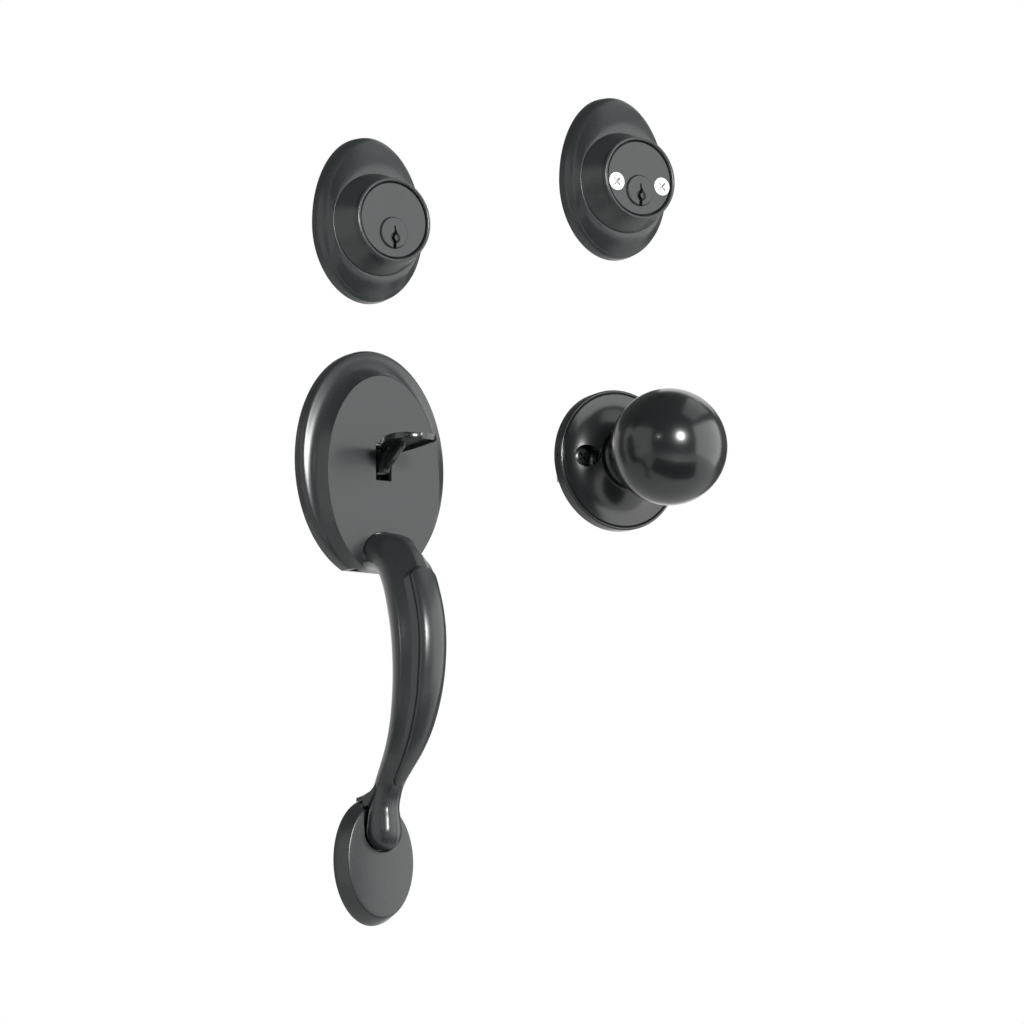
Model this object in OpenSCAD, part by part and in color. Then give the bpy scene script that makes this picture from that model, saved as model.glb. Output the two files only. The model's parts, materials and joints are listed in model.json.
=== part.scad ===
// Entry door handleset: two keyed deadbolt trims, a grip with its thumb lever, and a ball knob on a rose.
// Millimetres. +Z is up, the door's face is the plane Y = 0, and the fronts face -Y.
// The four groups stand side by side on that plane. The origin is the centre of the grip plate.
// Every group is drawn in its own frame: x to the right, y up and z out of the door.

/* [Layout] */
// Height of the outer lock's axis above the centre of the grip plate
outer_lock_up = 115.2; // [105:0.1:140]
// Distance from the outer column to the inner column
inner_column_x = 133.4; // [115:0.1:180]
// Height of the inner lock's axis
inner_lock_up = 148.5; // [120:0.1:180]
// Height of the knob's axis
knob_up = 20; // [0:0.1:40]
// Depth of the foot plate's centre below the centre of the grip plate
foot_drop = 172.8; // [160:0.1:190]

/* [Lock plate] */
// Width of the lock plate
lock_plate_w = 56; // [54:0.5:64]
// Height of the lock plate above the lock's axis
lock_plate_top = 41.8; // [40:0.1:50]
// Depth of the lock plate below the lock's axis
lock_plate_bottom = 34.4; // [33:0.1:42]
// Width of the raised face
lock_face_w = 50; // [49.2:0.1:52]
// Height of the raised face above the lock's axis
lock_face_top = 37.2; // [34:0.1:38.5]
// Height of the straight side wall
lock_wall_h = 3.4; // [2.6:0.1:5]
// Height of the crease round the face
lock_crease_h = 8; // [7:0.1:9]
// Height of the seat that carries the collar
lock_seat_h = 11.4; // [10.6:0.1:13]
// Wall of the lock plate casting
lock_plate_wall = 2.2; // [1.6:0.1:2.6]

/* [Collar] */
// Diameter of the collar where it meets the plate
collar_base_d = 46.8; // [44:0.1:47.6]
// Diameter across the collar's rounded lip
collar_lip_d = 39; // [38.4:0.1:41]
// Height of the collar's lip above the door
collar_front_h = 25.3; // [24:0.1:28]
// Bore of the collar in front of its ledge
collar_bore_d = 35.2; // [34.6:0.1:36]

/* [Lock cylinder] */
// Diameter of the cylinder's face
face_d = 34.4; // [34:0.1:34.8]
// Depth of the face behind the collar's lip
face_recess = 0.7; // [0.4:0.1:1.5]
// Thickness of the disc behind the face
face_disc_h = 3.6; // [3:0.1:4.4]
// Depth of the plug's axis below the axis of the face
plug_drop = 5.9; // [5.4:0.1:6.4]
// Diameter of the plug
plug_d = 12.7; // [12:0.1:13]
// Diameter of the plug's head
plug_head_d = 14.4; // [13.8:0.1:14.8]
// Height by which the plug stands out of the face
plug_proud = 0.9; // [0.4:0.1:1.5]
// Outside diameter of the sleeve round the plug
sleeve_d = 17.4; // [16.4:0.1:18.4]
// Width of the pin tower
tower_w = 8.6; // [7.4:0.1:9]
// Height of the pin tower's top above the plug's axis
tower_h = 18.8; // [18:0.1:19.6]
// Number of pin chambers
pin_count = 5; // [4:1:5]
// Distance between pin chambers
pin_pitch = 3.96; // [3.7:0.01:4]
// Diameter of the pins
pin_d = 2.9; // [2.6:0.1:3]
// Distance between the two lock screws
lock_screw_span = 24.8; // [24:0.1:25.2]
// Depth of the lock screws below the axis of the face
lock_screw_drop = 2.7; // [2:0.1:3.2]
// Diameter of the lock screws
lock_screw_d = 4.8; // [4.4:0.1:5]
// Diameter of the lock screws' heads
lock_screw_head_d = 8.2; // [7.6:0.1:8.4]
// Reach of the lock screws behind the door's face
lock_screw_reach = 19; // [16:1:60]
// Reach of the outer lock's posts behind the door's face
lock_post_reach = 16; // [8:1:25]
// Reach of the tailpiece behind the door's face
tail_reach = 34; // [28:1:70]
// Width of the tailpiece
tail_w = 7.9; // [7:0.1:8.4]
// Thickness of the tailpiece
tail_t = 2; // [1.6:0.1:2.4]

/* [Grip plate] */
// Width of the grip plate
grip_plate_w = 75.8; // [72:0.1:84]
// Full height of the oval that the grip plate is cut from
grip_oval_h = 104; // [100:0.5:112]
// Height of the oval's centre above the centre of the face
grip_oval_up = 6.5; // [4:0.1:9]
// Depth of the plate's flat bottom edge below the centre of the face
grip_flat_drop = 42.1; // [41:0.1:44]
// Width of the plate's flat face
grip_face_w = 58.8; // [56:0.1:62]
// Full height of the oval of the flat face
grip_face_h = 91; // [88:0.5:94]
// Height of the flat face above the door
grip_plate_h = 14.6; // [13.6:0.1:16]
// Wall of the grip plate
grip_plate_wall = 2.4; // [1.8:0.1:2.8]
// Width of the arch that the grip comes out of
arch_w = 22.6; // [22:0.1:25]
// Depth of the arch's top below the centre of the face
arch_drop = 25.7; // [25:0.1:26.5]
// Width of the thumb slot
slot_w = 7.8; // [7:0.1:9]
// Distance between the two plate posts
post_span = 40; // [38:0.5:42]
// Diameter of the plate posts
post_d = 8; // [7:0.5:9]
// Reach of the plate posts behind the door's face
post_reach = 19; // [10:1:25]
// Diameter of the tapped holes in the posts
tap_d = 4.2; // [3.3:0.1:5]

/* [Thumb lever] */
// Width of the thumb pad
pad_w = 23; // [20:0.5:28]
// Height of the thumb pad's tip out of the door
pad_reach = 49; // [44:0.5:54]
// Thickness of the thumb pad
pad_t = 2.4; // [2:0.1:3]
// Height of the lever's pivot above the centre of the face
pivot_up = 9; // [8.5:0.1:9.5]
// Height of the lever's pivot out of the door
pivot_out = 6.6; // [6.4:0.1:6.9]
// Diameter of the pivot pin
pivot_d = 3; // [2.5:0.1:3.4]
// Width of the lever's leg in the slot
leg_w = 5.6; // [5:0.1:6]
// Reach of the lever's lift finger behind the door's face
finger_reach = 24; // [16:1:30]
// Thickness of the guard behind the lever
guard_t = 1.2; // [0.8:0.1:1.6]

/* [Grip] */
// Distance from the door to the middle of the grip at its fullest
grip_reach = 44.1; // [40:0.1:50]
// Width of the grip at its fullest
grip_w = 25.2; // [24:0.1:28]
// Thickness of the grip at its fullest, from front to back
grip_t = 22.6; // [20:0.1:24]
// Width of the raised panel at its widest
panel_w = 14.6; // [12:0.1:16]
// Height of the raised panel
panel_raise = 0.9; // [0.4:0.1:1.4]
// Depth of the groove round the panel
panel_groove = 0.5; // [0.3:0.1:0.8]

/* [Foot plate] */
// Width of the foot plate
foot_w = 38; // [36:0.5:44]
// Height of the foot plate
foot_h = 57; // [55:0.5:64]
// Width of the foot plate's face
foot_face_w = 34.8; // [33:0.1:35.6]
// Height of the foot plate's face
foot_face_h = 52.2; // [50:0.1:54]
// Height of the face's edge above the door
foot_edge_h = 9.6; // [9:0.1:11]
// Height of the face's crown above its edge
foot_crown = 1.2; // [0.6:0.1:2]
// Width of the recess that takes the grip's foot
recess_w = 18; // [17:0.1:19]
// Height of the recess floor above the door
recess_floor_h = 5.6; // [5:0.1:6]
// Height of the recess's round end above the plate's centre
recess_up = 3.9; // [3:0.1:5]
// Diameter of the boss under the grip's foot
foot_boss_d = 9.4; // [8.4:0.1:10]

/* [Knob] */
// Diameter of the ball
ball_d = 53.3; // [50:0.1:58]
// Height of the ball's back above the door
ball_back_h = 18.95; // [18:0.05:24]
// Wall of the ball
ball_wall = 1.6; // [1.2:0.1:2.4]
// Diameter of the neck behind the ball
neck_d = 27; // [25:0.5:29]
// Diameter of the rose
rose_d = 65; // [64:0.5:70]
// Height of the rose's rim
rose_rim_h = 5.8; // [5.4:0.1:6.6]
// Height of the rose's collar above the door
rose_collar_h = 12.6; // [11.6:0.1:13.6]
// Diameter of the rose's collar
rose_collar_d = 30.4; // [29:0.1:31]
// Wall of the rose
rose_wall = 1.6; // [1.2:0.1:2]
// Diameter of the screw holes in the rose
rose_hole_d = 10.2; // [9.6:0.1:11]
// Diameter of the rose screws
rose_screw_d = 4.8; // [4.4:0.1:5]
// Diameter of the rose screws' heads
rose_screw_head_d = 9; // [8:0.1:9.4]
// Reach of the rose screws behind the door's face
rose_screw_reach = 15; // [12:1:60]
// Outside diameter of the shank
shank_d = 17; // [16:0.5:18]
// Wall of the shank
shank_wall = 2; // [1.6:0.1:2.6]
// Side of the square spindle
spindle_side = 7; // [6.4:0.1:7.4]
// Reach of the spindle behind the door's face
spindle_reach = 42; // [36:1:60]

/* [Hidden] */
$fn = 64;

// Plain shank of a screw: its end behind the door's face, and how much thinner it is than the thread
plain_below = 3;
thread_step = 0.4;

// Clearances
run_gap = 0.05;
seat_gap = 0.05;
loose_gap = 0.2;
eps = 0.01;

// Finishes
satin_black = "#2b2e2f";
gloss_black = "#161819";
bright_steel = "#c9cccd";
brass = "#b8975a";
spring_steel = "#8e9294";
black_screw = "#222426";

// Lock heights above the door
face_h = collar_front_h - face_recess;
disc_back_h = face_h - face_disc_h;
plug_front_h = face_h + plug_proud;
plug_head_h = plug_proud + 2.1;
core_back_h = -1.6;
clip_t = 0.8;
clip_front_h = core_back_h - 0.1;
tail_slot_depth = 4;
plug_back_h = clip_front_h - clip_t - tail_slot_depth - 1;
keyway_back_h = plug_back_h + tail_slot_depth + 1.4;
plug_r = plug_d / 2;
groove_d = plug_d - 2.2;
first_pin_h = face_h - face_disc_h - pin_d / 2 - 0.6;
chamber_d = pin_d + 2 * run_gap;
key_pin_top = sqrt(pow(plug_r, 2) - pow(pin_d / 2, 2)) - 0.06;
driver_bottom = plug_r + run_gap + 0.08;
driver_len = 4.9;
cover_t = 0.8;
cover_w = tower_w - 3;
spring_bottom = driver_bottom + driver_len;
spring_top = tower_h - cover_t;
key_cuts = [2.4, 1.4, 2.9, 1.9, 1.1];
lock_post_d = 7.2;
ledge_d = collar_bore_d - 2.2;
lip_w = (collar_lip_d - collar_bore_d) / 2;
sink_d = lock_screw_head_d + 2 * seat_gap;
sink_h = 2.3;
sink_rim = 0.3;
tail_pin_d = 1.6;
cam_d = 11.6;
cam_len = 12;

// Rings of the lock plate
lock_steps = 56;
function wave_down(a) = pow(max(0, -sin(a) * 1.35 - 0.35), 1.4);
function oval_r(a, hx, up, down) = let (v = sin(a) >= 0 ? up : down)
    1 / sqrt(pow(cos(a) / hx, 2) + pow(sin(a) / v, 2));
function lock_edge(a) = oval_r(a, lock_plate_w / 2, lock_plate_top, lock_plate_bottom);
function lock_face(a) = let (f = oval_r(a, lock_face_w / 2, lock_face_top, lock_face_top - 0.7))
    min(f, lock_edge(a) - 1.9);
function lock_crease(a) = lock_crease_h - 2.6 * min(1, wave_down(a));
function polar_ring(n, r_of, h_of) = [for (i = [0 : n - 1]) let (a = 360 * i / n)
    [r_of(a) * cos(a), r_of(a) * sin(a), h_of(a)]];
function shoulder_w(k) = (1 - cos(k * 20)) / (1 - cos(60));
function shoulder_t(k) = sin(k * 20) / sin(60);
function mix(a, b, w) = a + (b - a) * w;

// Grip plate
slot_bottom = -2;
slot_top = 14.4;
lug_gap = slot_w / 2 + 0.3;
lug_w = 2.4;
lug_back = 2.6;
lug_top_half = 6;
lug_end_half = 3.4;
run_out = 40;
guard_half_w = 26;
guard_bottom = -7;
guard_top = 16;
guard_corner = 3;
finger_room_low = 5.4;
finger_room_high = 13.2;
hub_d = pivot_d + 3.6;
hub_w = 4.6;
hub_x = 1;
ceiling_h = grip_plate_h - grip_plate_wall;
post_front_h = ceiling_h - 2.6;
post_tip_d = 5;
tap_depth = post_reach + 3;
root_screw_drop = 17.5;
root_boss_h = ceiling_h - 1.6;
tongue_t = 3.1;
tongue_w = 12;
tongue_h = root_boss_h - tongue_t - 2 * seat_gap;

// Grip stations: share of the way from root to foot, share of the reach, then width, front and back as
// shares of the fullest section. The last five are placed from the foot plate.
root_drop = arch_drop + 8.9;
grip_root = -root_drop;
foot_centre = -foot_drop;
foot_top = foot_centre + 32;
body_stations = [
    [0, 0.06, 0.830, 0.760, 0.680], [0, 0.27, 0.836, 0.765, 0.690], [0.020, 0.50, 0.890, 0.820, 0.760],
    [0.070, 0.692, 0.952, 0.905, 0.835], [0.150, 0.828, 0.984, 0.960, 0.905], [0.244, 0.921, 1, 1, 0.955],
    [0.347, 0.982, 0.990, 1.02, 0.975], [0.451, 1, 0.965, 1.00, 0.955], [0.559, 0.982, 0.925, 0.935, 0.905],
    [0.662, 0.925, 0.875, 0.835, 0.815], [0.766, 0.825, 0.800, 0.710, 0.690],
    [0.855, 0.685, 0.700, 0.605, 0.585], [0.930, 0.522, 0.590, 0.530, 0.500]
];
foot_stations = [
    [32, 17, 6.5, 5.6, 5.6], [24.4, 14, 6.3, 5.8, 6.6], [17.4, 13, 7.3, 7.2, 6.6],
    [11.4, 12.8, 7.7, 7.7, 6.7], [7, 12.8, 6.1, 6.3, 6], [4.4, 12.6, 2.6, 3.2, 3]
];
grip_stations = concat(
    [for (s = body_stations) [grip_reach * s[1], mix(grip_root, foot_top, s[0]),
        grip_w / 2 * s[2], grip_t / 2 * s[3], grip_t / 2 * s[4]]],
    [for (s = foot_stations) [s[1], foot_centre + s[0], s[2], s[3], s[4]]]);
panel_start = 4.05;
panel_end = 12.45;
panel_turn = 0.55;
grip_params = concat([for (u = [0 : 0.5 : 4]) u], [4.1, 4.16, 4.26, 4.4, 4.6], [for (u = [5 : 0.5 : 12]) u],
    [12.25, 12.36, 12.44], [for (u = [12.75 : 0.5 : 18]) u], [18]);

// Foot plate
foot_wall = 2.2;
recess_gap = 0.3;
foot_boss_up = 14.4;

// Skirt behind the grip's foot: height out of the door, and height above the foot plate's centre
skirt_profile = [[0.1, 29.8], [0.1, 24], [9.5, 24], [14, 31], [13, 36], [8, 33], [3.4, 30.6]];
skirt_w = 14.4;
skirt_taper = [[-7.2, 20], [7.2, 20], [6.2, 42], [-6.2, 42]];

// Knob
ball_out = ball_back_h + ball_d / 2;
mount_plate_t = 1.6;
mount_plate_h = 0.6;
mount_plate_front_h = mount_plate_h + mount_plate_t;
flange_t = 1.4;
cage_wire_d = 1;
bush_d = shank_d + 2 * run_gap + 3;
bush_back_h = -4;
bush_h = 12;
ring_t = 1;
ring_back_h = bush_back_h - 0.15 - ring_t;
shank_back_h = ring_back_h - 1;
ring_groove_d = shank_d - 1.6;
shank_in_ball = 12;
square_hole = spindle_side + 2 * seat_gap;

// Corners of a smooth curve through stations, at parameter u
function station(list, u) = let (s = max(0, min(floor(u), len(list) - 2)), f = u - s,
    p0 = list[max(s - 1, 0)], p1 = list[s], p2 = list[s + 1], p3 = list[min(s + 2, len(list) - 1)])
    0.5 * (2 * p1 + (p2 - p0) * f + (2 * p0 - 5 * p1 + 4 * p2 - p3) * f * f
    + (3 * p1 - p0 - 3 * p2 + p3) * f * f * f);

// Triangles between rings of n points. Rings run anticlockwise about the way the skin travels.
function skin(n, m, wrap) = [for (i = [0 : m - (wrap ? 1 : 2)], j = [0 : n - 1], half = [0, 1])
    let (a = i * n + j, b = i * n + (j + 1) % n, c = (i + 1) % m * n + j, d = (i + 1) % m * n + (j + 1) % n)
    half == 0 ? [a, c, b] : [b, c, d]];
function cap_low(n) = [for (j = [0 : n - 1]) j];
function cap_high(n, m) = [for (j = [n - 1 : -1 : 0]) (m - 1) * n + j];

module capped_skin(rings) {
    n = len(rings[0]);
    m = len(rings);
    polyhedron([for (r = rings) each r], concat(skin(n, m, false), [cap_low(n)], [cap_high(n, m)]), 8);
}

module closed_skin(rings) {
    n = len(rings[0]);
    polyhedron([for (r = rings) each r], skin(n, len(rings), true), 8);
}

// Places a group's frame on the door's face
module on_door(x, up) translate([x, 0, up]) rotate([90, 0, 0]) children();
module at_outer_lock() on_door(0, outer_lock_up) children();
module at_inner_lock() on_door(inner_column_x, inner_lock_up) children();
module at_knob() on_door(inner_column_x, knob_up) children();
module at_foot() translate([0, foot_centre, 0]) children();

// A plate cut to a profile of height out of the door and height up, centred on x
module side_cut(points, w, x = 0) translate([x, 0, 0]) rotate([0, -90, 0]) linear_extrude(w, center = true)
    polygon(points);

// A round wire coil about z, from z = 0 up to h between wire centres
module coil(r, wire_d, h, turns, steps = 8, sides = 5) {
    n = round(turns * steps);
    capped_skin([for (i = [0 : n]) let (a = 360 * turns * i / n, z = h * i / n)
        [for (j = [0 : sides - 1]) let (p = 360 * j / sides, rr = r + wire_d / 2 * sin(p))
            [rr * cos(a), rr * sin(a), z + wire_d / 2 * cos(p)]]]);
}

// A cross recess for a screw's head, cut down from z = 0
module cross_recess(w, depth) for (a = [0, 90]) rotate([0, 0, a + 45]) translate([0, 0, -depth / 2])
    cube([w, w * 0.22, depth + 2 * eps], center = true);

module tube(d_out, d_in, h) difference() {
    cylinder(d = d_out, h = h);
    translate([0, 0, -eps]) cylinder(d = d_in, h = h + 2 * eps);
}

// Lock plate: egg outline, wall, shoulder, crease, domed face and the flat seat under the collar
module lock_plate() color(satin_black) {
    n = lock_steps;
    wall = lock_plate_wall;
    seat_hole = ledge_d / 2 + 0.6;
    edge = function (a) lock_edge(a);
    step = function (a) lock_edge(a) - 0.3;
    fold = function (a) lock_face(a);
    crease = function (a) lock_crease(a);
    inner_edge = function (a) lock_edge(a) - wall;
    inner_fold = function (a) lock_face(a) - wall * 0.8;
    closed_skin(concat(
        [polar_ring(n, edge, function (a) 0), polar_ring(n, step, function (a) lock_wall_h)],
        [for (k = [1, 2, 3]) polar_ring(n, function (a) mix(step(a), fold(a), shoulder_w(k)),
            function (a) mix(lock_wall_h, crease(a), shoulder_t(k)))],
        [for (s = [0.3, 0.62, 1]) polar_ring(n, function (a) mix(fold(a), collar_base_d / 2, s),
            function (a) mix(crease(a), lock_seat_h, sin(90 * s)))],
        [for (h = [lock_seat_h, lock_seat_h - wall]) polar_ring(n, function (a) seat_hole, function (a) h)],
        [polar_ring(n, function (a) collar_base_d / 2 - 2.2, function (a) lock_seat_h - wall),
            polar_ring(n, inner_fold, function (a) crease(a) - wall),
            polar_ring(n, inner_edge, function (a) min(lock_wall_h, crease(a) - wall) - 0.9),
            polar_ring(n, inner_edge, function (a) 0)]));
}

// Collar: a turned cone with a rounded lip and a ledge that the cylinder's disc pulls against
module lock_collar() color(satin_black) rotate_extrude($fn = 96) {
    ledge_h = disc_back_h - seat_gap;
    lip_z = collar_front_h - lip_w / 2;
    difference() {
        union() {
            polygon([[ledge_d / 2, lock_seat_h], [collar_base_d / 2 - 0.3, lock_seat_h],
                [collar_base_d / 2, lock_seat_h + 0.4], [collar_lip_d / 2 - 0.35, lip_z - 1.5],
                [collar_lip_d / 2 - 0.35, lip_z], [collar_bore_d / 2, lip_z], [collar_bore_d / 2, ledge_h],
                [ledge_d / 2, ledge_h]]);
            translate([(collar_lip_d + collar_bore_d) / 4, lip_z]) circle(d = lip_w, $fn = 32);
        }
        // The cone is hollow up to the ledge
        polygon([[ledge_d / 2 - 1, lock_seat_h - eps], [collar_base_d / 2 - 3.4, lock_seat_h - eps],
            [ledge_d / 2 + 0.5, ledge_h - 3.4], [ledge_d / 2 - 1, ledge_h - 2.4]]);
    }
}

module at_plug() translate([0, -plug_drop, 0]) children();
module each_pin() for (i = [0 : pin_count - 1]) translate([0, -plug_drop, first_pin_h - i * pin_pitch])
    rotate([-90, 0, 0]) rotate([0, 0, i * 15]) children();
module each_lock_screw() for (s = [-1, 1])
    translate([s * lock_screw_span / 2, -lock_screw_drop, 0]) children();

// Housing: face disc, plug sleeve and pin tower in one casting. The outer one carries two tapped posts.
module lock_housing(tapped) color(satin_black) difference() {
    back = tapped ? -lock_post_reach : core_back_h;
    union() {
        translate([0, 0, disc_back_h]) rotate_extrude($fn = 96) polygon([[0, 0], [face_d / 2, 0],
            [face_d / 2, face_disc_h - 0.4], [face_d / 2 - 0.4, face_disc_h], [0, face_disc_h]]);
        at_plug() translate([0, 0, core_back_h]) cylinder(d = sleeve_d, h = disc_back_h - core_back_h + 1);
        translate([-tower_w / 2, -plug_drop, core_back_h])
            cube([tower_w, tower_h, disc_back_h - core_back_h + 1]);
        each_lock_screw() translate([0, 0, back]) cylinder(d = lock_post_d, h = disc_back_h - back + 1);
    }
    at_plug() translate([0, 0, core_back_h - eps]) cylinder(d = plug_d + 2 * run_gap, h = 40);
    at_plug() translate([0, 0, plug_front_h - plug_head_h - run_gap]) cylinder(d = plug_head_d + 0.3, h = 10);
    each_pin() cylinder(d = chamber_d, h = tower_h + 1, $fn = 24);
    translate([-cover_w / 2 - seat_gap, tower_h - cover_t - plug_drop, core_back_h - 1])
        cube([cover_w + 2 * seat_gap, cover_t + 1, disc_back_h - core_back_h + 1]);
    if (tapped) each_lock_screw() translate([0, 0, back - eps]) cylinder(d = tap_d, h = lock_post_reach + 12);
    else each_lock_screw() {
        translate([0, 0, core_back_h - eps]) cylinder(d = lock_screw_d + 2 * loose_gap, h = 40);
        translate([0, 0, face_h - sink_h])
            cylinder(d1 = lock_screw_d + 2 * loose_gap, d2 = sink_d, h = sink_h - sink_rim);
        translate([0, 0, face_h - sink_rim - eps]) cylinder(d = sink_d, h = sink_rim + 2 * eps);
    }
}

// Outline of the key slot about the plug's axis: narrow at the top, waved, open at the plug's edge
keyway = [
    [-0.25, 3.2], [0.55, 3.2], [0.75, 1.3], [1.35, 0.5], [1.35, -0.6], [0.55, -1.4], [0.55, -2.6],
    [1.25, -3.3], [1.25, -4.4], [0.85, -5.0], [0.85, -8], [-0.85, -8], [-0.85, -5.4], [-0.45, -4.4],
    [-0.45, -3.7], [-1.15, -3.0], [-1.15, -1.8], [-0.4, -1.0], [-0.4, 0], [-0.15, 0.6]
];

module lock_plug() color(satin_black) difference() {
    union() {
        at_plug() translate([0, 0, plug_back_h]) cylinder(d = plug_d, h = plug_front_h - plug_back_h - 1);
        at_plug() translate([0, 0, plug_front_h - plug_head_h]) rotate_extrude($fn = 64)
            polygon([[0, 0], [plug_head_d / 2, 0], [plug_head_d / 2, plug_head_h - 0.5],
                [plug_head_d / 2 - 0.5, plug_head_h], [0, plug_head_h]]);
    }
    at_plug() translate([0, 0, keyway_back_h]) linear_extrude(40) polygon(keyway);
    // The dished entry that leads the key in
    at_plug() translate([0.3, -2.4, plug_front_h - 0.8])
        cylinder(d1 = 3.4, d2 = 5.2, h = 0.8 + eps, $fn = 40);
    each_pin() translate([0, 0, 1]) cylinder(d = chamber_d, h = plug_r + 1, $fn = 24);
    at_plug() translate([0, 0, clip_front_h - clip_t - 2 * seat_gap])
        tube(plug_d + 1, groove_d, clip_t + 3 * seat_gap);
    at_plug() translate([-tail_w / 2 - seat_gap, -tail_t / 2 - seat_gap, plug_back_h - eps])
        cube([tail_w + 2 * seat_gap, tail_t + 2 * seat_gap, tail_slot_depth]);
    at_plug() tail_pin_hole();
}

module tail_pin_hole() translate([0, -plug_d, plug_back_h + 2]) rotate([-90, 0, 0])
    cylinder(d = tail_pin_d + 2 * seat_gap, h = 2 * plug_d, $fn = 24);

module tail_pin() color(spring_steel) at_plug() translate([0, -plug_d / 2 + 0.8, plug_back_h + 2])
    rotate([-90, 0, 0]) cylinder(d = tail_pin_d, h = plug_d - 1.6, $fn = 24);

module key_pins() color(brass) for (i = [0 : pin_count - 1])
    translate([0, -plug_drop, first_pin_h - i * pin_pitch]) rotate([-90, 0, 0]) {
        translate([0, 0, key_cuts[i]]) cylinder(d1 = 1.2, d2 = pin_d, h = 0.9, $fn = 24);
        translate([0, 0, key_cuts[i] + 0.9 - eps])
            cylinder(d = pin_d, h = key_pin_top - key_cuts[i] - 0.9 + eps, $fn = 24);
    }

module driver_pins() color(spring_steel) each_pin() translate([0, 0, driver_bottom])
    cylinder(d = pin_d, h = driver_len, $fn = 24);

module pin_springs() color(spring_steel) each_pin() translate([0, 0, spring_bottom + 0.25])
    coil(pin_d / 2 - 0.3, 0.4, spring_top - spring_bottom - 0.5, 4, 7, 4);

module pin_cover() color(bright_steel)
    translate([-cover_w / 2, tower_h - cover_t - plug_drop, core_back_h + 0.4])
        cube([cover_w, cover_t, disc_back_h - core_back_h - 0.8]);

module plug_clip() color(spring_steel) at_plug() translate([0, 0, clip_front_h - clip_t]) difference() {
    tube(plug_d + 3, groove_d + 2 * seat_gap, clip_t);
    translate([-groove_d / 2 + 0.8, -plug_d, -1]) cube([groove_d - 1.6, plug_d, 4]);
}

module tailpiece() color(bright_steel) at_plug() difference() {
    translate([-tail_w / 2, -tail_t / 2, -tail_reach])
        cube([tail_w, tail_t, tail_reach + plug_back_h + tail_slot_depth - 0.2]);
    tail_pin_hole();
}

module lock_cam() color(bright_steel) at_plug() difference() {
    union() {
        translate([-tail_w / 2, -tail_t / 2, plug_back_h - 1])
            cube([tail_w, tail_t, tail_slot_depth + 0.8]);
        translate([0, 0, plug_back_h - seat_gap - cam_len]) cylinder(d = cam_d, h = cam_len);
    }
    tail_pin_hole();
    translate([-tail_w / 2 - loose_gap, -tail_t / 2 - loose_gap, plug_back_h - cam_len - 1])
        cube([tail_w + 2 * loose_gap, tail_t + 2 * loose_gap, cam_len - 2]);
}

module lock_screws() color(bright_steel) each_lock_screw() difference() {
    union() {
        translate([0, 0, face_h - sink_h + 2 * seat_gap])
            cylinder(d1 = lock_screw_d, d2 = lock_screw_head_d, h = sink_h - sink_rim - 2 * seat_gap);
        translate([0, 0, face_h - sink_rim - eps]) cylinder(d = lock_screw_head_d, h = sink_rim + eps);
        translate([0, 0, -lock_screw_reach]) cylinder(d = lock_screw_d, h = lock_screw_reach - plain_below);
        translate([0, 0, -plain_below - eps])
            cylinder(d = lock_screw_d - thread_step, h = plain_below + face_h - sink_h + 4 * seat_gap);
    }
    translate([0, 0, face_h]) cross_recess(4.8, 1.5);
}

// Ring of an oval whose bottom is cut off flat: the arc runs from one corner over the top to the other
oval_arc = 54;
function cut_oval(hx, hy, centre, flat, h) = let (t0 = asin(max(-1, (flat - centre) / hy)))
    [for (i = [0 : oval_arc]) let (a = mix(t0, 180 - t0, i / oval_arc))
        [hx * cos(a), centre + hy * sin(a), h]];

// Moulding of the grip plate: share of the way from edge to face, and share of the height
plate_moulding = [[0, 0], [0, 0.27], [0.03, 0.345], [0.12, 0.41], [0.24, 0.44], [0.40, 0.475], [0.60, 0.55],
    [0.79, 0.68], [0.93, 0.85], [1, 1]];
plate_hollow = [[1, 1], [0.62, 0.62], [0, 0.30], [0, 0]];
function plate_ring(w, h, inset) = cut_oval(mix(grip_plate_w, grip_face_w, w) / 2 - inset,
    mix(grip_oval_h, grip_face_h, w) / 2 - inset, mix(grip_oval_up, 0, w), inset - grip_flat_drop, h);

module arch_prism(gap, low, high) {
    r = arch_w / 2 + gap;
    translate([0, -arch_drop - arch_w / 2, low]) linear_extrude(high - low) union() {
        circle(r = r);
        translate([-r, -run_out]) square([2 * r, run_out]);
    }
}

module pivot_hole(gap) translate([-run_out / 2, pivot_up, pivot_out]) rotate([0, 90, 0])
    cylinder(d = pivot_d + 2 * gap, h = run_out, $fn = 32);

// Grip plate: a cast shell with its moulding, thumb slot, arch, post bosses and pivot lugs
module grip_plate() color(satin_black) difference() {
    wall = grip_plate_wall;
    union() {
        difference() {
            capped_skin(concat(
                [for (p = plate_hollow) plate_ring(p[0], p[1] * ceiling_h, wall)],
                [for (p = plate_moulding) plate_ring(p[0], p[1] * grip_plate_h, 0)]));
            arch_prism(0, 2, grip_plate_h + 1);
        }
        for (s = [-1, 1]) translate([s * post_span / 2, 0, post_front_h]) cylinder(d = post_d + 3, h = 3.4);
        for (s = [-1, 1]) side_cut([
            [ceiling_h + 0.4, pivot_up - lug_top_half], [ceiling_h + 0.4, pivot_up + lug_top_half],
            [pivot_out - lug_back, pivot_up + lug_end_half], [pivot_out - lug_back, pivot_up - lug_end_half]
        ], lug_w, s * (lug_gap + lug_w / 2));
        translate([0, -root_screw_drop, root_boss_h]) cylinder(d = 9, h = 2);
    }
    translate([-slot_w / 2, slot_bottom, ceiling_h - 1]) cube([slot_w, slot_top - slot_bottom, 8]);
    for (s = [-1, 1]) translate([s * post_span / 2, 0, post_front_h - eps])
        cylinder(d = post_tip_d + 2 * seat_gap, h = 3);
    pivot_hole(seat_gap);
    translate([0, -root_screw_drop, root_boss_h - eps]) cylinder(d = 3, h = 2.9, $fn = 24);
}

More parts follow.
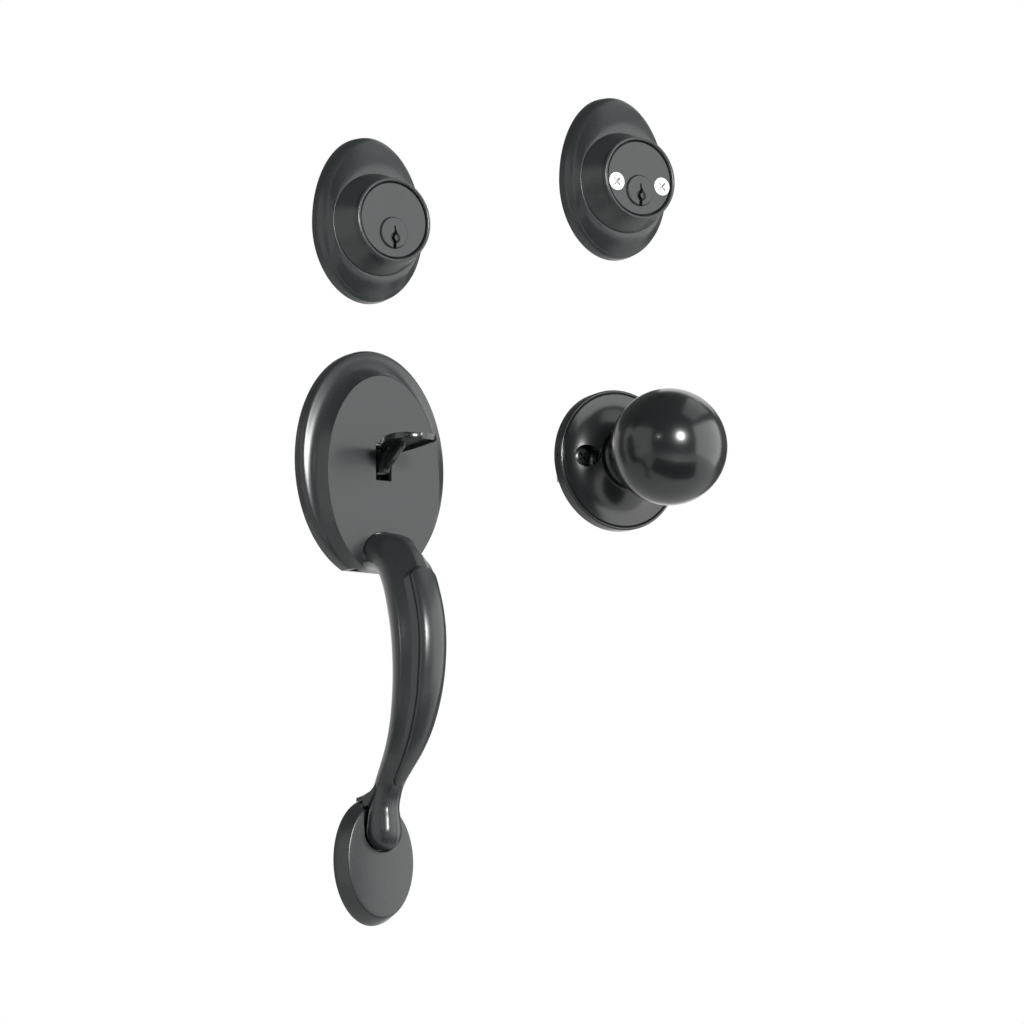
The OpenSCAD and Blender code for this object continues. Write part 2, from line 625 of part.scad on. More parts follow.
module plate_posts() color(bright_steel) for (s = [-1, 1]) translate([s * post_span / 2, 0, 0]) difference() {
    union() {
        translate([0, 0, -post_reach]) cylinder(d = post_d, h = post_reach + post_front_h);
        translate([0, 0, post_front_h - eps]) cylinder(d = post_tip_d, h = 2.6);
    }
    translate([0, 0, -post_reach - eps]) cylinder(d = tap_d, h = tap_depth);
}

// Spoon of the thumb lever: rows across the pad, from the leg out to the tip
pad_back = 19;
pad_rows = 12;
function pad_half(k) = pad_w / 2 * pow(max(0.02, 1 - pow(abs(2 * k - 1), 2.8)), 0.42);
pad_side = [-1, -0.86, -0.45, 0, 0.45, 0.86, 1];
pad_dish = 1.9;
function pad_mid(k, side) = pivot_up + 3.1 + 3 * k - 1.1 * k * k - 0.25 * pad_t
    + pad_dish * pow(abs(side), 2.4);
function pad_under(k, side) = pad_mid(k, side) - pad_t * (abs(side) < 1 ? 0.75 : 0.5);
function pad_over(k, side) = pad_mid(k, side) + pad_t * (abs(side) < 1 ? 0.25 : 0);
function pad_row(k) = let (w = pad_half(k), z = mix(pad_back, pad_reach, k)) concat(
    [for (i = [0 : 6]) [w * pad_side[i], pad_under(k, pad_side[i]), z]],
    [for (i = [6 : -1 : 0]) [w * pad_side[i], pad_over(k, pad_side[i]), z]]);

// Web under the pad and leg through the slot: height out of the door, and height above the pivot
web_profile = [[16, 3], [20, 2.2], [32, 2.6], [30.5, 1.4], [18, -5.8], [15.2, -6.4], [12, -5]];
web_t = 2.8;
leg_profile = [[pivot_out + 1, 3], [16, 4.5], [pad_back + 0.6, 4.8], [pad_back + 4, 3.4], [pad_back + 3, 1],
    [17, -4], [15, -7.6], [12, -8.4], [9.5, -6.5], [pivot_out - 2, -2.6]];
finger_profile = [[pivot_out, 2], [pivot_out, -2], [-finger_reach, -1.4], [-finger_reach, 1.4]];
module lever_cut(profile, w, x = 0) translate([0, pivot_up, 0]) side_cut(profile, w, x);

module thumb_lever() color(gloss_black) difference() {
    union() {
        capped_skin([for (i = [0 : pad_rows]) pad_row(i / pad_rows)]);
        lever_cut(web_profile, web_t);
        lever_cut(leg_profile, leg_w);
        translate([hub_x - hub_w / 2 + 0.2, pivot_up, pivot_out]) rotate([0, 90, 0])
            cylinder(d = hub_d, h = hub_w - 0.2);
        lever_cut(finger_profile, hub_w - 0.6, hub_x);
    }
    pivot_hole(run_gap);
    // Room for the return spring beside the hub
    translate([-leg_w, pivot_up, pivot_out]) rotate([0, 90, 0])
        cylinder(d = hub_d + 2.4, h = leg_w + hub_x - hub_w / 2, $fn = 32);
}

module thumb_pivot_pin() color(bright_steel) translate([-lug_gap - lug_w - 0.4, pivot_up, pivot_out])
    rotate([0, 90, 0]) cylinder(d = pivot_d, h = 2 * (lug_gap + lug_w + 0.4), $fn = 32);

module thumb_spring() color(spring_steel) {
    wire = 0.8;
    r = pivot_d / 2 + 0.9;
    room = hub_x - hub_w / 2 + lug_gap;
    translate([-lug_gap + 0.6, pivot_up, pivot_out]) rotate([0, 90, 0])
        coil(r, wire, room - 1.2, 2, 12, 6);
}

// Guard: a pressed strap that seats on the two lugs, fits over the posts and leaves room for the finger
module thumb_guard() color(bright_steel) translate([0, 0, pivot_out - lug_back - seat_gap - guard_t])
    linear_extrude(guard_t) difference() {
        w = guard_half_w;
        c = guard_corner;
        polygon([[-w + c, guard_bottom], [w - c, guard_bottom], [w, guard_bottom + c], [w, guard_top - c],
            [w - c, guard_top], [-w + c, guard_top], [-w, guard_top - c], [-w, guard_bottom + c]]);
        for (s = [-1, 1]) translate([s * post_span / 2, 0]) circle(d = post_d + 2 * seat_gap);
        translate([-lug_gap, finger_room_low]) square([2 * lug_gap, finger_room_high - finger_room_low]);
    }

// Grip: sections swept from the root in the plate, over the hand space, down to the foot
function panel_share(u) = u <= panel_start || u >= panel_end ? 0 :
    let (a = min(1, (u - panel_start) / panel_turn), b = min(1, (panel_end - u) / 0.3))
    sqrt(1 - pow(1 - a, 2)) * sqrt(1 - pow(1 - b, 2));
function panel_half(u) = let (taper = mix(1, 0.26, pow(max(0, (u - 6) / (panel_end - 6)), 1.1)))
    1.2 + max(0, panel_w / 2 * taper - 1.2) * panel_share(u);
function front_at(x, a, f) = f * pow(max(0, 1 - pow(abs(x) / a, 2.3)), 0.55);
function at_front(x, a, f, lift) = [x, front_at(x, a, f) + lift];
// The flank is round where ridge is 0. Where it is 1 it leaves a ridge at its side and dips before the lip.
function at_flank(t, a, f, lip, ridge) = let (x = mix(a, lip, t))
    [x, mix(front_at(x, a, f), front_at(lip, a, f) * t * t * (3 - 2 * t), ridge)];
function grip_half_section(a, f, b, pw, up, ridge) = let (lip = pw + 1.5, low = panel_groove * up,
    high = panel_raise * up)
    [[0, -b], [0.68 * a, -0.90 * b], [0.93 * a, -0.42 * b], [a, 0],
    at_flank(0.3, a, f, lip, ridge), at_flank(0.68, a, f, lip, ridge), at_front(lip, a, f, 0),
    at_front(pw + 0.6, a, f, -low), at_front(pw, a, f, high * 0.8), at_front(pw * 0.55, a, f, high * 1.1),
    [0, f + high * 1.2]];
function grip_section(a, f, b, pw, up, ridge) = let (h = grip_half_section(a, f, b, pw, up, ridge), n = len(h))
    concat(h, [for (i = [n - 2 : -1 : 1]) [-h[i][0], h[i][1]]]);
function ridge_share(u) = max(0, min(1, (u - 3) / 1.5, (panel_end + 1 - u) / 1.5));
grip_end = len(grip_stations) - 1;
function along(u) = let (ahead = station(grip_stations, min(u + 0.02, grip_end)),
    step = ahead - station(grip_stations, u - 0.02)) [step[0], step[1]] / norm([step[0], step[1]]);
function grip_ring(u) = let (s = station(grip_stations, u), t = along(u), up = panel_share(u) > 0 ? 1 : 0,
    section = grip_section(s[2], s[3], s[4], min(panel_half(u), s[2] * 0.58), up, ridge_share(u)))
    [for (p = section) [p[0], s[1] + p[1] * t[0], s[0] - p[1] * t[1]]];

foot_steps = 48;
function foot_ring(w, inset, h) = [for (i = [0 : foot_steps - 1]) let (a = 360 * i / foot_steps)
    [(mix(foot_w, foot_face_w, w) / 2 - inset) * cos(a),
        (mix(foot_h, foot_face_h, w) / 2 - inset) * sin(a), h]];
function flat_oval(w, h) = [for (i = [0 : foot_steps - 1]) let (a = 360 * i / foot_steps)
    [w / 2 * cos(a), h / 2 * sin(a)]];
function crown_ring(share, inset, h) = let (ring = foot_ring(1, inset, h + foot_crown * (1 - share * share)))
    [for (p = ring) [p[0] * share, p[1] * share, p[2]]];

module grip_handle() color(satin_black) difference() {
    union() {
        capped_skin([for (u = grip_params) grip_ring(u)]);
        // Tongue behind the plate's face, for the root screw
        translate([-tongue_w / 2, -root_drop, tongue_h])
            cube([tongue_w, root_drop - root_screw_drop + 5.5, tongue_t]);
        // Skirt that reaches the door above the foot plate
        at_foot() intersection() {
            side_cut(skirt_profile, skirt_w);
            linear_extrude(20) polygon(skirt_taper);
        }
        // Boss under the foot
        at_foot() translate([0, foot_boss_up, 0.4]) cylinder(d = foot_boss_d, h = 10);
    }
    at_foot() difference() {
        translate([0, 0, -1]) linear_extrude(foot_edge_h)
            polygon(flat_oval(foot_w + 2 * recess_gap, foot_h + 2 * recess_gap));
        translate([0, foot_boss_up, -2]) cylinder(d = foot_boss_d, h = 20);
        translate([-20, recess_up - 20, recess_floor_h + seat_gap]) cube([40, 60, 20]);
    }
    at_foot() translate([0, foot_boss_up, -1]) cylinder(d = tap_d, h = 13);
    translate([0, -root_screw_drop, 0]) cylinder(d = 4, h = 12, $fn = 32);
}

module grip_root_screw() color(bright_steel) translate([0, -root_screw_drop, 0]) {
    translate([0, 0, tongue_h - seat_gap - 2]) rotate_extrude($fn = 48)
        polygon([[0, 0], [2.6, 0], [3.6, 0.7], [3.6, 2], [0, 2]]);
    translate([0, 0, tongue_h - seat_gap - eps]) cylinder(d = 2.9, h = 5, $fn = 24);
}

module recess_prism(gap, low, high) {
    r = recess_w / 2 + gap;
    translate([0, recess_up + recess_w / 2, low]) linear_extrude(high - low) union() {
        circle(r = r);
        translate([-r, 0]) square([2 * r, run_out]);
    }
}

// Foot plate: an oval cast shell, crowned, with a round-ended recess open at its top
module foot_plate() color(satin_black) at_foot() difference() {
    wall = foot_wall;
    union() {
        capped_skin(concat(
            [for (s = [0.1, 0.5]) crown_ring(s, wall, foot_edge_h - wall)],
            [foot_ring(1, wall, foot_edge_h - wall), foot_ring(0, wall, 1.5), foot_ring(0, wall, 0)],
            [foot_ring(0, 0, 0), foot_ring(0.1, 0, 2.4), foot_ring(1, 0.3, foot_edge_h - 0.4)],
            [foot_ring(1, 0.8, foot_edge_h)],
            [for (s = [0.66, 0.33, 0.08]) crown_ring(s, 0.8, foot_edge_h)]));
        intersection() {
            recess_prism(1.8, recess_floor_h - wall, foot_edge_h - 0.6);
            linear_extrude(foot_edge_h) polygon(flat_oval(foot_face_w - 1, foot_face_h - 1));
        }
    }
    recess_prism(0, recess_floor_h, foot_edge_h + 5);
    translate([0, foot_boss_up, -1]) cylinder(d = foot_boss_d + 2 * loose_gap, h = 20);
}

// Rose: rim, groove and a dished face that climbs to the collar round the knob's neck
module knob_rose() color(satin_black) difference() {
    r = rose_d / 2;
    c = rose_collar_d / 2;
    w = rose_wall;
    bore = shank_d / 2 + 1.2;
    dish_steps = 8;
    dish_r = function (s) mix(r - 2.8, c, s);
    dish_h = function (s) mix(rose_rim_h + 0.1, rose_collar_h - 0.7, pow(s, 2.2));
    rotate_extrude($fn = 128) polygon(concat(
        [[r - w, 0], [r, 0], [r, rose_rim_h - 0.9], [r - 0.3, rose_rim_h - 0.3], [r - 0.9, rose_rim_h]],
        [[r - 1.6, rose_rim_h], [r - 1.9, rose_rim_h - 0.7]],
        [[r - 2.3, rose_rim_h - 0.7], [r - 2.6, rose_rim_h]],
        [for (k = [0 : dish_steps]) let (s = k / dish_steps) [dish_r(s), dish_h(s)]],
        [[c - 0.5, rose_collar_h], [bore, rose_collar_h], [bore, rose_collar_h - w]],
        [for (k = [dish_steps : -1 : 0]) let (s = k / dish_steps) [dish_r(s) - 0.7, dish_h(s) - w]],
        [[r - w, rose_rim_h - w - 0.3]]));
    for (s = [-1, 1]) translate([s * post_span / 2, 0, 1]) cylinder(d = rose_hole_d, h = 20);
    // Small release hole in the rim
    translate([-r - 1, 0, 2.9]) rotate([0, 90, 0]) cylinder(d = 1.4, h = 4, $fn = 24);
}

module each_rose_screw() for (s = [-1, 1]) translate([s * post_span / 2, 0, 0]) children();

module knob_mounting_plate() color(bright_steel) translate([0, 0, mount_plate_h]) difference() {
    cylinder(d = rose_d - 2 * rose_wall - 2 * loose_gap, h = mount_plate_t, $fn = 96);
    translate([0, 0, -1]) cylinder(d = bush_d + 2 * seat_gap, h = mount_plate_t + 2);
    each_rose_screw() translate([0, 0, -1]) cylinder(d = rose_screw_d + 2 * loose_gap, h = mount_plate_t + 2);
}

// Bush: a flanged bearing pressed into the mounting plate, in which the shank turns
module knob_bush() color(brass) translate([0, 0, bush_back_h]) difference() {
    union() {
        cylinder(d = bush_d, h = bush_h);
        translate([0, 0, mount_plate_front_h + seat_gap - bush_back_h])
            cylinder(d = bush_d + 4, h = flange_t);
    }
    translate([0, 0, -1]) cylinder(d = shank_d + 2 * run_gap, h = bush_h + 2);
}

// Ball and neck in one hollow shell
module knob_ball() color(gloss_black) rotate_extrude($fn = 128) {
    r = ball_d / 2;
    n = neck_d / 2;
    a0 = asin((n + 0.6) / r);
    inner = r - ball_wall;
    b0 = asin((shank_d / 2 + seat_gap) / inner);
    neck_base = rose_collar_h + 0.5;
    polygon(concat(
        [[shank_d / 2 + seat_gap, neck_base], [n - 0.3, neck_base], [n, neck_base + 0.5]],
        [[n - 0.7, neck_base + 3], [n - 0.7, neck_base + 6]],
        [for (i = [0 : 30]) let (a = mix(a0, 180, i / 30)) [max(0, r * sin(a)), ball_out - r * cos(a)]],
        [for (i = [24 : -1 : 0]) let (a = mix(b0, 180, i / 24))
            [max(0, inner * sin(a)), ball_out - inner * cos(a)]]));
}

module knob_shank() color(bright_steel) difference() {
    translate([0, 0, shank_back_h]) cylinder(d = shank_d, h = ball_back_h + shank_in_ball - shank_back_h);
    translate([0, 0, shank_back_h - 1])
        cylinder(d = shank_d - 2 * shank_wall, h = ball_back_h + shank_in_ball / 2 - shank_back_h);
    translate([0, 0, run_out / 2]) cube([square_hole, square_hole, run_out], center = true);
    translate([0, 0, ring_back_h - seat_gap]) tube(shank_d + 1, ring_groove_d, ring_t + 2 * seat_gap);
}

module knob_spindle() color(bright_steel) translate([-spindle_side / 2, -spindle_side / 2, -spindle_reach])
    cube([spindle_side, spindle_side, spindle_reach + ball_back_h + shank_in_ball - 1]);

module knob_retaining_ring() color(spring_steel) translate([0, 0, ring_back_h]) difference() {
    tube(shank_d + 4, ring_groove_d + 2 * seat_gap, ring_t);
    translate([-ring_groove_d / 2 + 1.5, -shank_d, -1]) cube([ring_groove_d - 3, shank_d, 4]);
}

module knob_cage_spring() color(spring_steel)
    translate([0, 0, mount_plate_front_h + flange_t + cage_wire_d / 2 + 2 * seat_gap])
        coil(bush_d / 2 + cage_wire_d / 2 + 0.6, cage_wire_d, 2.2, 2, 16, 5);

module rose_screws() color(black_screw) each_rose_screw() difference() {
    seat = mount_plate_front_h + seat_gap;
    r = rose_screw_head_d / 2;
    union() {
        translate([0, 0, seat]) rotate_extrude($fn = 48)
            polygon([[0, 0], [r, 0], [r, 1.6], [r - 0.6, 2.3], [r - 1.8, 2.8], [0, 3]]);
        translate([0, 0, -rose_screw_reach]) cylinder(d = rose_screw_d, h = rose_screw_reach - plain_below);
        translate([0, 0, -plain_below - eps])
            cylinder(d = rose_screw_d - thread_step, h = plain_below + seat + 1);
    }
    translate([0, 0, seat + 3]) cross_recess(5, 1.8);
}

at_outer_lock() lock_plate();  // outer_lock_plate
at_outer_lock() lock_collar();  // outer_lock_collar
at_outer_lock() lock_housing(true);  // outer_lock_housing
at_outer_lock() lock_plug();  // outer_lock_plug
at_outer_lock() key_pins();  // outer_key_pins
at_outer_lock() driver_pins();  // outer_driver_pins
at_outer_lock() pin_springs();  // outer_pin_springs
at_outer_lock() pin_cover();  // outer_pin_cover
at_outer_lock() plug_clip();  // outer_plug_clip
at_outer_lock() tailpiece();  // outer_tailpiece
at_outer_lock() tail_pin();  // outer_tail_pin
at_inner_lock() lock_plate();  // inner_lock_plate
at_inner_lock() lock_collar();  // inner_lock_collar
at_inner_lock() lock_housing(false);  // inner_lock_housing
at_inner_lock() lock_plug();  // inner_lock_plug
at_inner_lock() key_pins();  // inner_key_pins
at_inner_lock() driver_pins();  // inner_driver_pins
at_inner_lock() pin_springs();  // inner_pin_springs
at_inner_lock() pin_cover();  // inner_pin_cover
at_inner_lock() plug_clip();  // inner_plug_clip
at_inner_lock() lock_cam();  // inner_lock_cam
at_inner_lock() tail_pin();  // inner_cam_pin
at_inner_lock() lock_screws();  // inner_lock_screws
on_door(0, 0) grip_plate();
on_door(0, 0) plate_posts();
on_door(0, 0) thumb_lever();
on_door(0, 0) thumb_pivot_pin();
on_door(0, 0) thumb_spring();
on_door(0, 0) thumb_guard();
on_door(0, 0) grip_handle();
on_door(0, 0) grip_root_screw();
on_door(0, 0) foot_plate();
at_knob() knob_rose();
at_knob() knob_mounting_plate();
at_knob() knob_bush();
at_knob() knob_ball();
at_knob() knob_shank();
at_knob() knob_spindle();
at_knob() knob_retaining_ring();
at_knob() knob_cage_spring();
at_knob() rose_screws();
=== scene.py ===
# Entry door handleset: dresses the packed model with smooth castings, finishes, light and a camera.
# Metres, in the model's own frame. Each group is modelled in a frame of its own on the door's face:
# x to the right, y up and z out of the door.

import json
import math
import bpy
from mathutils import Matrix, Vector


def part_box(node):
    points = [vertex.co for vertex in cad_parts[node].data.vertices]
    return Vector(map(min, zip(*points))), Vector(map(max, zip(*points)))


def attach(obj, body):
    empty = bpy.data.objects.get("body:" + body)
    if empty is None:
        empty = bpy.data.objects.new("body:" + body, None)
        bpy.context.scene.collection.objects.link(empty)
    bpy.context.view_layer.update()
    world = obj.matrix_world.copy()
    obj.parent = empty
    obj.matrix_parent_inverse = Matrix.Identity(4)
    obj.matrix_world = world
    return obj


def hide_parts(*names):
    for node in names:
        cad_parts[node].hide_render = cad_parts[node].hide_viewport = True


bl_info = {
    "name": "Entry Door Handleset",
    "version": (1, 0, 0),
    "blender": (4, 5, 0),
    "location": "3D View > Sidebar > Handleset",
    "description": "Models and finishes the castings of a door handleset and sets up its studio",
    "category": "Object",
}

import bmesh
import bpy
from bpy.props import FloatProperty, FloatVectorProperty, IntProperty, PointerProperty
from bpy.types import Operator, Panel, PropertyGroup
from mathutils import Matrix, Vector

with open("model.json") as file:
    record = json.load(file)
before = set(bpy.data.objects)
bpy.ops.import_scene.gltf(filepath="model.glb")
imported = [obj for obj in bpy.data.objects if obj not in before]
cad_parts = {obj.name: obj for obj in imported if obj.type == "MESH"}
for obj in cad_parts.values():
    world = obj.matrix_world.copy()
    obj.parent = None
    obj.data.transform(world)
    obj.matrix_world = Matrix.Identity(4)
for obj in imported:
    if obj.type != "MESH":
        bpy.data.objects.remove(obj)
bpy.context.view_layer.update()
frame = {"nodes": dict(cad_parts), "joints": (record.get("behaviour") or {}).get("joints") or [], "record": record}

MM = 0.001
JOINTS = {joint["name"]: Vector(joint["pos_m"]) for joint in frame["joints"]}
MOUNTS = {mount["name"]: mount for mount in frame["record"]["mounts"]}


def middle(node):
    low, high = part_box(node)
    return (low + high) / 2


def width(node, axis=0):
    low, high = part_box(node)
    return high[axis] - low[axis]


def reach(node):
    """How far a node stands out of the door."""
    return -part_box(node)[0].y


OUTER_LOCK = (middle("outer_lock_collar").x, middle("outer_lock_collar").z)
INNER_LOCK = (middle("inner_lock_collar").x, middle("inner_lock_collar").z)
KNOB = (JOINTS["knob_turn"].x, JOINTS["knob_turn"].z)
FOOT = (middle("foot_plate").x, middle("foot_plate").z)
GRIP = (0.0, 0.0)
PIVOT_UP = JOINTS["thumb_press"].z
PIVOT_OUT = -JOINTS["thumb_press"].y
POST_SPAN = MOUNTS["rose_bolts"]["dims"]["spacing_x_mm"] * MM


def length(name, default, description):
    return FloatProperty(name=name, default=default, description=description, unit="LENGTH", precision=5)


def colour(name, default, description):
    return FloatVectorProperty(name=name, default=default, description=description, subtype="COLOR", size=3,
                               min=0.0, max=1.0)


class LockSizes(PropertyGroup):
    """Sizes of the two deadbolt trims."""

    plate_w: length("Plate width", width("outer_lock_plate"), "Width of the lock plate")
    plate_top: length("Plate top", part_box("outer_lock_plate")[1].z - OUTER_LOCK[1], "Height above the axis")
    plate_bottom: length("Plate bottom", OUTER_LOCK[1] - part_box("outer_lock_plate")[0].z,
                         "Depth below the axis")
    face_w: length("Face width", 50 * MM, "Width of the raised face")
    face_top: length("Face top", 37.2 * MM, "Height of the raised face above the axis")
    wall_h: length("Side wall", 3.4 * MM, "Height of the straight side wall")
    crease_h: length("Crease", 8 * MM, "Height of the crease round the face")
    seat_h: length("Seat", reach("outer_lock_plate"), "Height of the seat that carries the collar")
    wall: length("Wall", 2.2 * MM, "Wall of the casting")
    collar_d: length("Collar base", width("outer_lock_collar"),
                     "Diameter of the collar where it meets the plate")
    lip_d: length("Collar lip", 39 * MM, "Diameter across the collar's rounded lip")
    bore_d: length("Collar bore", 35.2 * MM, "Bore of the collar in front of its ledge")
    front_h: length("Collar front", reach("outer_lock_collar"), "Height of the lip above the door")
    face_recess: length("Face recess", 0.7 * MM, "Depth of the cylinder's face behind the lip")
    disc_h: length("Face disc", 3.6 * MM, "Thickness of the disc behind the cylinder's face")


class GripPlateSizes(PropertyGroup):
    """Sizes of the plate that carries the grip and the thumb lever."""

    plate_w: length("Width", width("grip_plate"), "Width of the grip plate")
    oval_h: length("Oval height", 104 * MM, "Full height of the oval that the plate is cut from")
    oval_up: length("Oval centre", 6.5 * MM, "Height of the oval's centre")
    flat_drop: length("Flat edge", -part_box("grip_plate")[0].z, "Depth of the flat bottom edge")
    face_w: length("Face width", 58.8 * MM, "Width of the flat face")
    face_h: length("Face height", 91 * MM, "Full height of the face's oval")
    front_h: length("Face", reach("grip_plate"), "Height of the flat face above the door")
    wall: length("Wall", 2.4 * MM, "Wall of the casting")
    arch_w: length("Arch width", 22.6 * MM, "Width of the arch that the grip comes out of")
    arch_drop: length("Arch top", 25.7 * MM, "Depth of the arch's top")
    slot_w: length("Slot width", 7.8 * MM, "Width of the thumb slot")
    slot_low: length("Slot bottom", -2 * MM, "Height of the slot's lower end")
    slot_high: length("Slot top", 14.4 * MM, "Height of the slot's upper end")


class GripSizes(PropertyGroup):
    """Sizes of the curved grip."""

    out: length("Reach", 44.1 * MM, "Distance from the door to the middle of the grip at its fullest")
    w: length("Width", width("grip_handle"), "Width of the grip at its fullest")
    t: length("Thickness", 22.6 * MM, "Thickness of the grip at its fullest, front to back")
    panel_w: length("Panel width", 14.6 * MM, "Width of the raised panel at its widest")
    panel_raise: length("Panel height", 0.9 * MM, "Height of the raised panel")
    panel_groove: length("Panel groove", 0.5 * MM, "Depth of the groove round the panel")
    root_drop: length("Root", 34.6 * MM, "Depth of the grip's root below the plate's centre")


class LeverSizes(PropertyGroup):
    """Sizes of the thumb lever."""

    pad_w: length("Pad width", width("thumb_lever") - 2 * MM, "Width of the thumb pad")
    pad_back: length("Pad back", 16.2 * MM, "Height of the pad's back end out of the door")
    pad_out: length("Pad reach", reach("thumb_lever"), "Height of the pad's tip out of the door")
    pad_t: length("Pad rim", 2.6 * MM, "Height of the rim round the thumb pad")
    pad_plate: length("Pad plate", 1.2 * MM, "Thickness of the plate inside the rim")
    leg_w: length("Leg width", 5.6 * MM, "Width of the leg in the slot")
    pivot_d: length("Pivot", 3 * MM, "Diameter of the pivot pin")
    finger: length("Finger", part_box("thumb_lever")[1].y, "Reach of the lift finger behind the door's face")


class FootSizes(PropertyGroup):
    """Sizes of the foot plate."""

    w: length("Width", width("foot_plate"), "Width of the foot plate")
    h: length("Height", width("foot_plate", 2), "Height of the foot plate")
    face_w: length("Face width", 34.8 * MM, "Width of the face")
    face_h: length("Face height", 52.2 * MM, "Height of the face")
    edge_h: length("Edge", 9.6 * MM, "Height of the face's edge above the door")
    crown: length("Crown", reach("foot_plate") - 9.6 * MM, "Height of the face's crown above its edge")
    recess_w: length("Recess width", 18 * MM, "Width of the recess that takes the grip's foot")
    recess_h: length("Recess floor", 5.6 * MM, "Height of the recess floor above the door")
    recess_up: length("Recess end", 3.9 * MM, "Height of the recess's round end above the centre")
    boss_d: length("Boss", 9.4 * MM, "Diameter of the boss under the grip's foot")
    boss_up: length("Boss height", 14.4 * MM, "Height of the boss above the plate's centre")


class KnobSizes(PropertyGroup):
    """Sizes of the rose and the ball knob."""

    ball_d: length("Ball", width("knob_ball"), "Diameter of the ball")
    ball_out: length("Ball centre", reach("knob_ball") - width("knob_ball") / 2,
                     "Height of the ball's centre")
    ball_wall: length("Ball wall", 1.6 * MM, "Wall of the ball")
    neck_d: length("Neck", 27 * MM, "Diameter of the neck behind the ball")
    rose_d: length("Rose", width("knob_rose"), "Diameter of the rose")
    rim_h: length("Rim", 5.8 * MM, "Height of the rose's rim")
    collar_h: length("Collar", reach("knob_rose"), "Height of the rose's collar above the door")
    collar_d: length("Collar diameter", 30.4 * MM, "Diameter of the rose's collar")
    wall: length("Rose wall", 1.6 * MM, "Wall of the rose")
    hole_d: length("Screw hole", 10.2 * MM, "Diameter of the screw holes")
    shank_d: length("Shank", width("knob_shank"), "Outside diameter of the shank")


class Finishes(PropertyGroup):
    """Colours of the finishes."""

    satin: colour("Satin black", (0.017, 0.0195, 0.02), "Powder coat on the castings")
    gloss: colour("Gloss black", (0.006, 0.007, 0.0073), "Enamel on the ball and the thumb lever")
    steel: colour("Bright steel", (0.74, 0.75, 0.76), "Zinc plated steel")
    spring: colour("Spring steel", (0.34, 0.35, 0.36), "Spring wire and clips")
    brass: colour("Brass", (0.62, 0.45, 0.2), "Pins and bearing bush")
    screw: colour("Black screw", (0.012, 0.013, 0.0135), "Blackened screws of the rose")


class StudioSizes(PropertyGroup):
    """Camera and studio."""

    lens: FloatProperty(name="Lens", default=281.25, description="Focal length on a 36 mm sensor",
                        unit="CAMERA")
    distance: length("Distance", 3.6361, "Distance from the camera to the point that it looks at")
    azimuth: FloatProperty(name="Azimuth", default=math.radians(-33), description="Camera's bearing",
                           subtype="ANGLE")
    elevation: FloatProperty(name="Elevation", default=math.radians(-9.5), description="Camera's elevation",
                             subtype="ANGLE")
    roll: FloatProperty(name="Roll", default=math.radians(-0.61),
                        description="Turn about the line of sight", subtype="ANGLE")
    floor_z: length("Floor", -0.95, "Height of the studio floor")
    segments: IntProperty(name="Segments", default=128, min=32, max=256,
                          description="Steps round a turned piece")


def sizes(name):
    return getattr(bpy.context.scene, name)


def mix(a, b, share):
    return a + (b - a) * share


def on_door(place):
    """A group's frame: its origin on the door at place, its z axis out of the door."""
    return Matrix.Translation((place[0], 0, place[1])) @ Matrix.Rotation(math.radians(90), 4, "X")


def arc(cx, cy, r, start, end, steps):
    """Points of an arc, from angle start to angle end in degrees."""
    turns = [math.radians(mix(start, end, i / steps)) for i in range(steps + 1)]
    return [(cx + r * math.cos(a), cy + r * math.sin(a)) for a in turns]


def spline(points, steps):
    """A smooth curve through points of any dimension, with steps between each pair."""
    out = []
    last = len(points) - 1
    for i in range(last):
        around = [points[max(i - 1, 0)], points[i], points[i + 1], points[min(i + 2, last)]]
        for j in range(steps):
            out.append(between(around, j / steps))
    return out + [tuple(points[-1])]


def between(around, f):
    """The point at share f between the middle two of four points."""
    return tuple(
        0.5 * (2 * b + (c - a) * f + (2 * a - 5 * b + 4 * c - d) * f * f + (3 * b - a - 3 * c + d) * f ** 3)
        for a, b, c, d in zip(*around))


def draw_loop(bm, places, closed=True):
    """Vertices at places, joined in a row by edges."""
    verts = [bm.verts.new(p) for p in places]
    pairs = list(zip(verts, verts[1:])) + ([(verts[-1], verts[0])] if closed else [])
    return verts, [bm.edges.new(pair) for pair in pairs]


def extrude_loop(bm, verts, edges, places):
    """Extrudes a row of edges and puts the new vertices at places."""
    made = bmesh.ops.extrude_edge_only(bm, edges=edges)["geom"]
    fresh = {v for v in made if isinstance(v, bmesh.types.BMVert)}
    moved = []
    for old, place in zip(verts, places):
        new = next(e.other_vert(old) for e in old.link_edges if e.other_vert(old) in fresh)
        new.co = place
        moved.append(new)
    return moved, [e for e in made if isinstance(e, bmesh.types.BMEdge) and set(e.verts) <= fresh]


def loft(rings, hollow=False):
    """A skin extruded from ring to ring. A hollow one meets its first ring again, others are capped."""
    bm = bmesh.new()
    verts, edges = draw_loop(bm, rings[0])
    ends = list(edges)
    for places in rings[1:] + (rings[:1] if hollow else []):
        verts, edges = extrude_loop(bm, verts, edges, places)
    if hollow:
        bmesh.ops.remove_doubles(bm, verts=bm.verts, dist=1e-7)
    else:
        bmesh.ops.holes_fill(bm, edges=ends + edges)
    bmesh.ops.recalc_face_normals(bm, faces=bm.faces)
    return bm


def turned(profile, closed=True):
    """A profile of (radius, height) spun about the z axis."""
    bm = bmesh.new()
    verts, edges = draw_loop(bm, [(r, 0, h) for r, h in profile], closed)
    bmesh.ops.spin(bm, geom=verts + edges, cent=(0, 0, 0), axis=(0, 0, 1), angle=math.tau,
                   steps=sizes("handleset_studio").segments, use_merge=True)
    bmesh.ops.remove_doubles(bm, verts=bm.verts, dist=1e-7)
    bmesh.ops.delete(bm, geom=[e for e in bm.edges if not e.link_faces], context="EDGES")
    bmesh.ops.recalc_face_normals(bm, faces=bm.faces)
    return bm


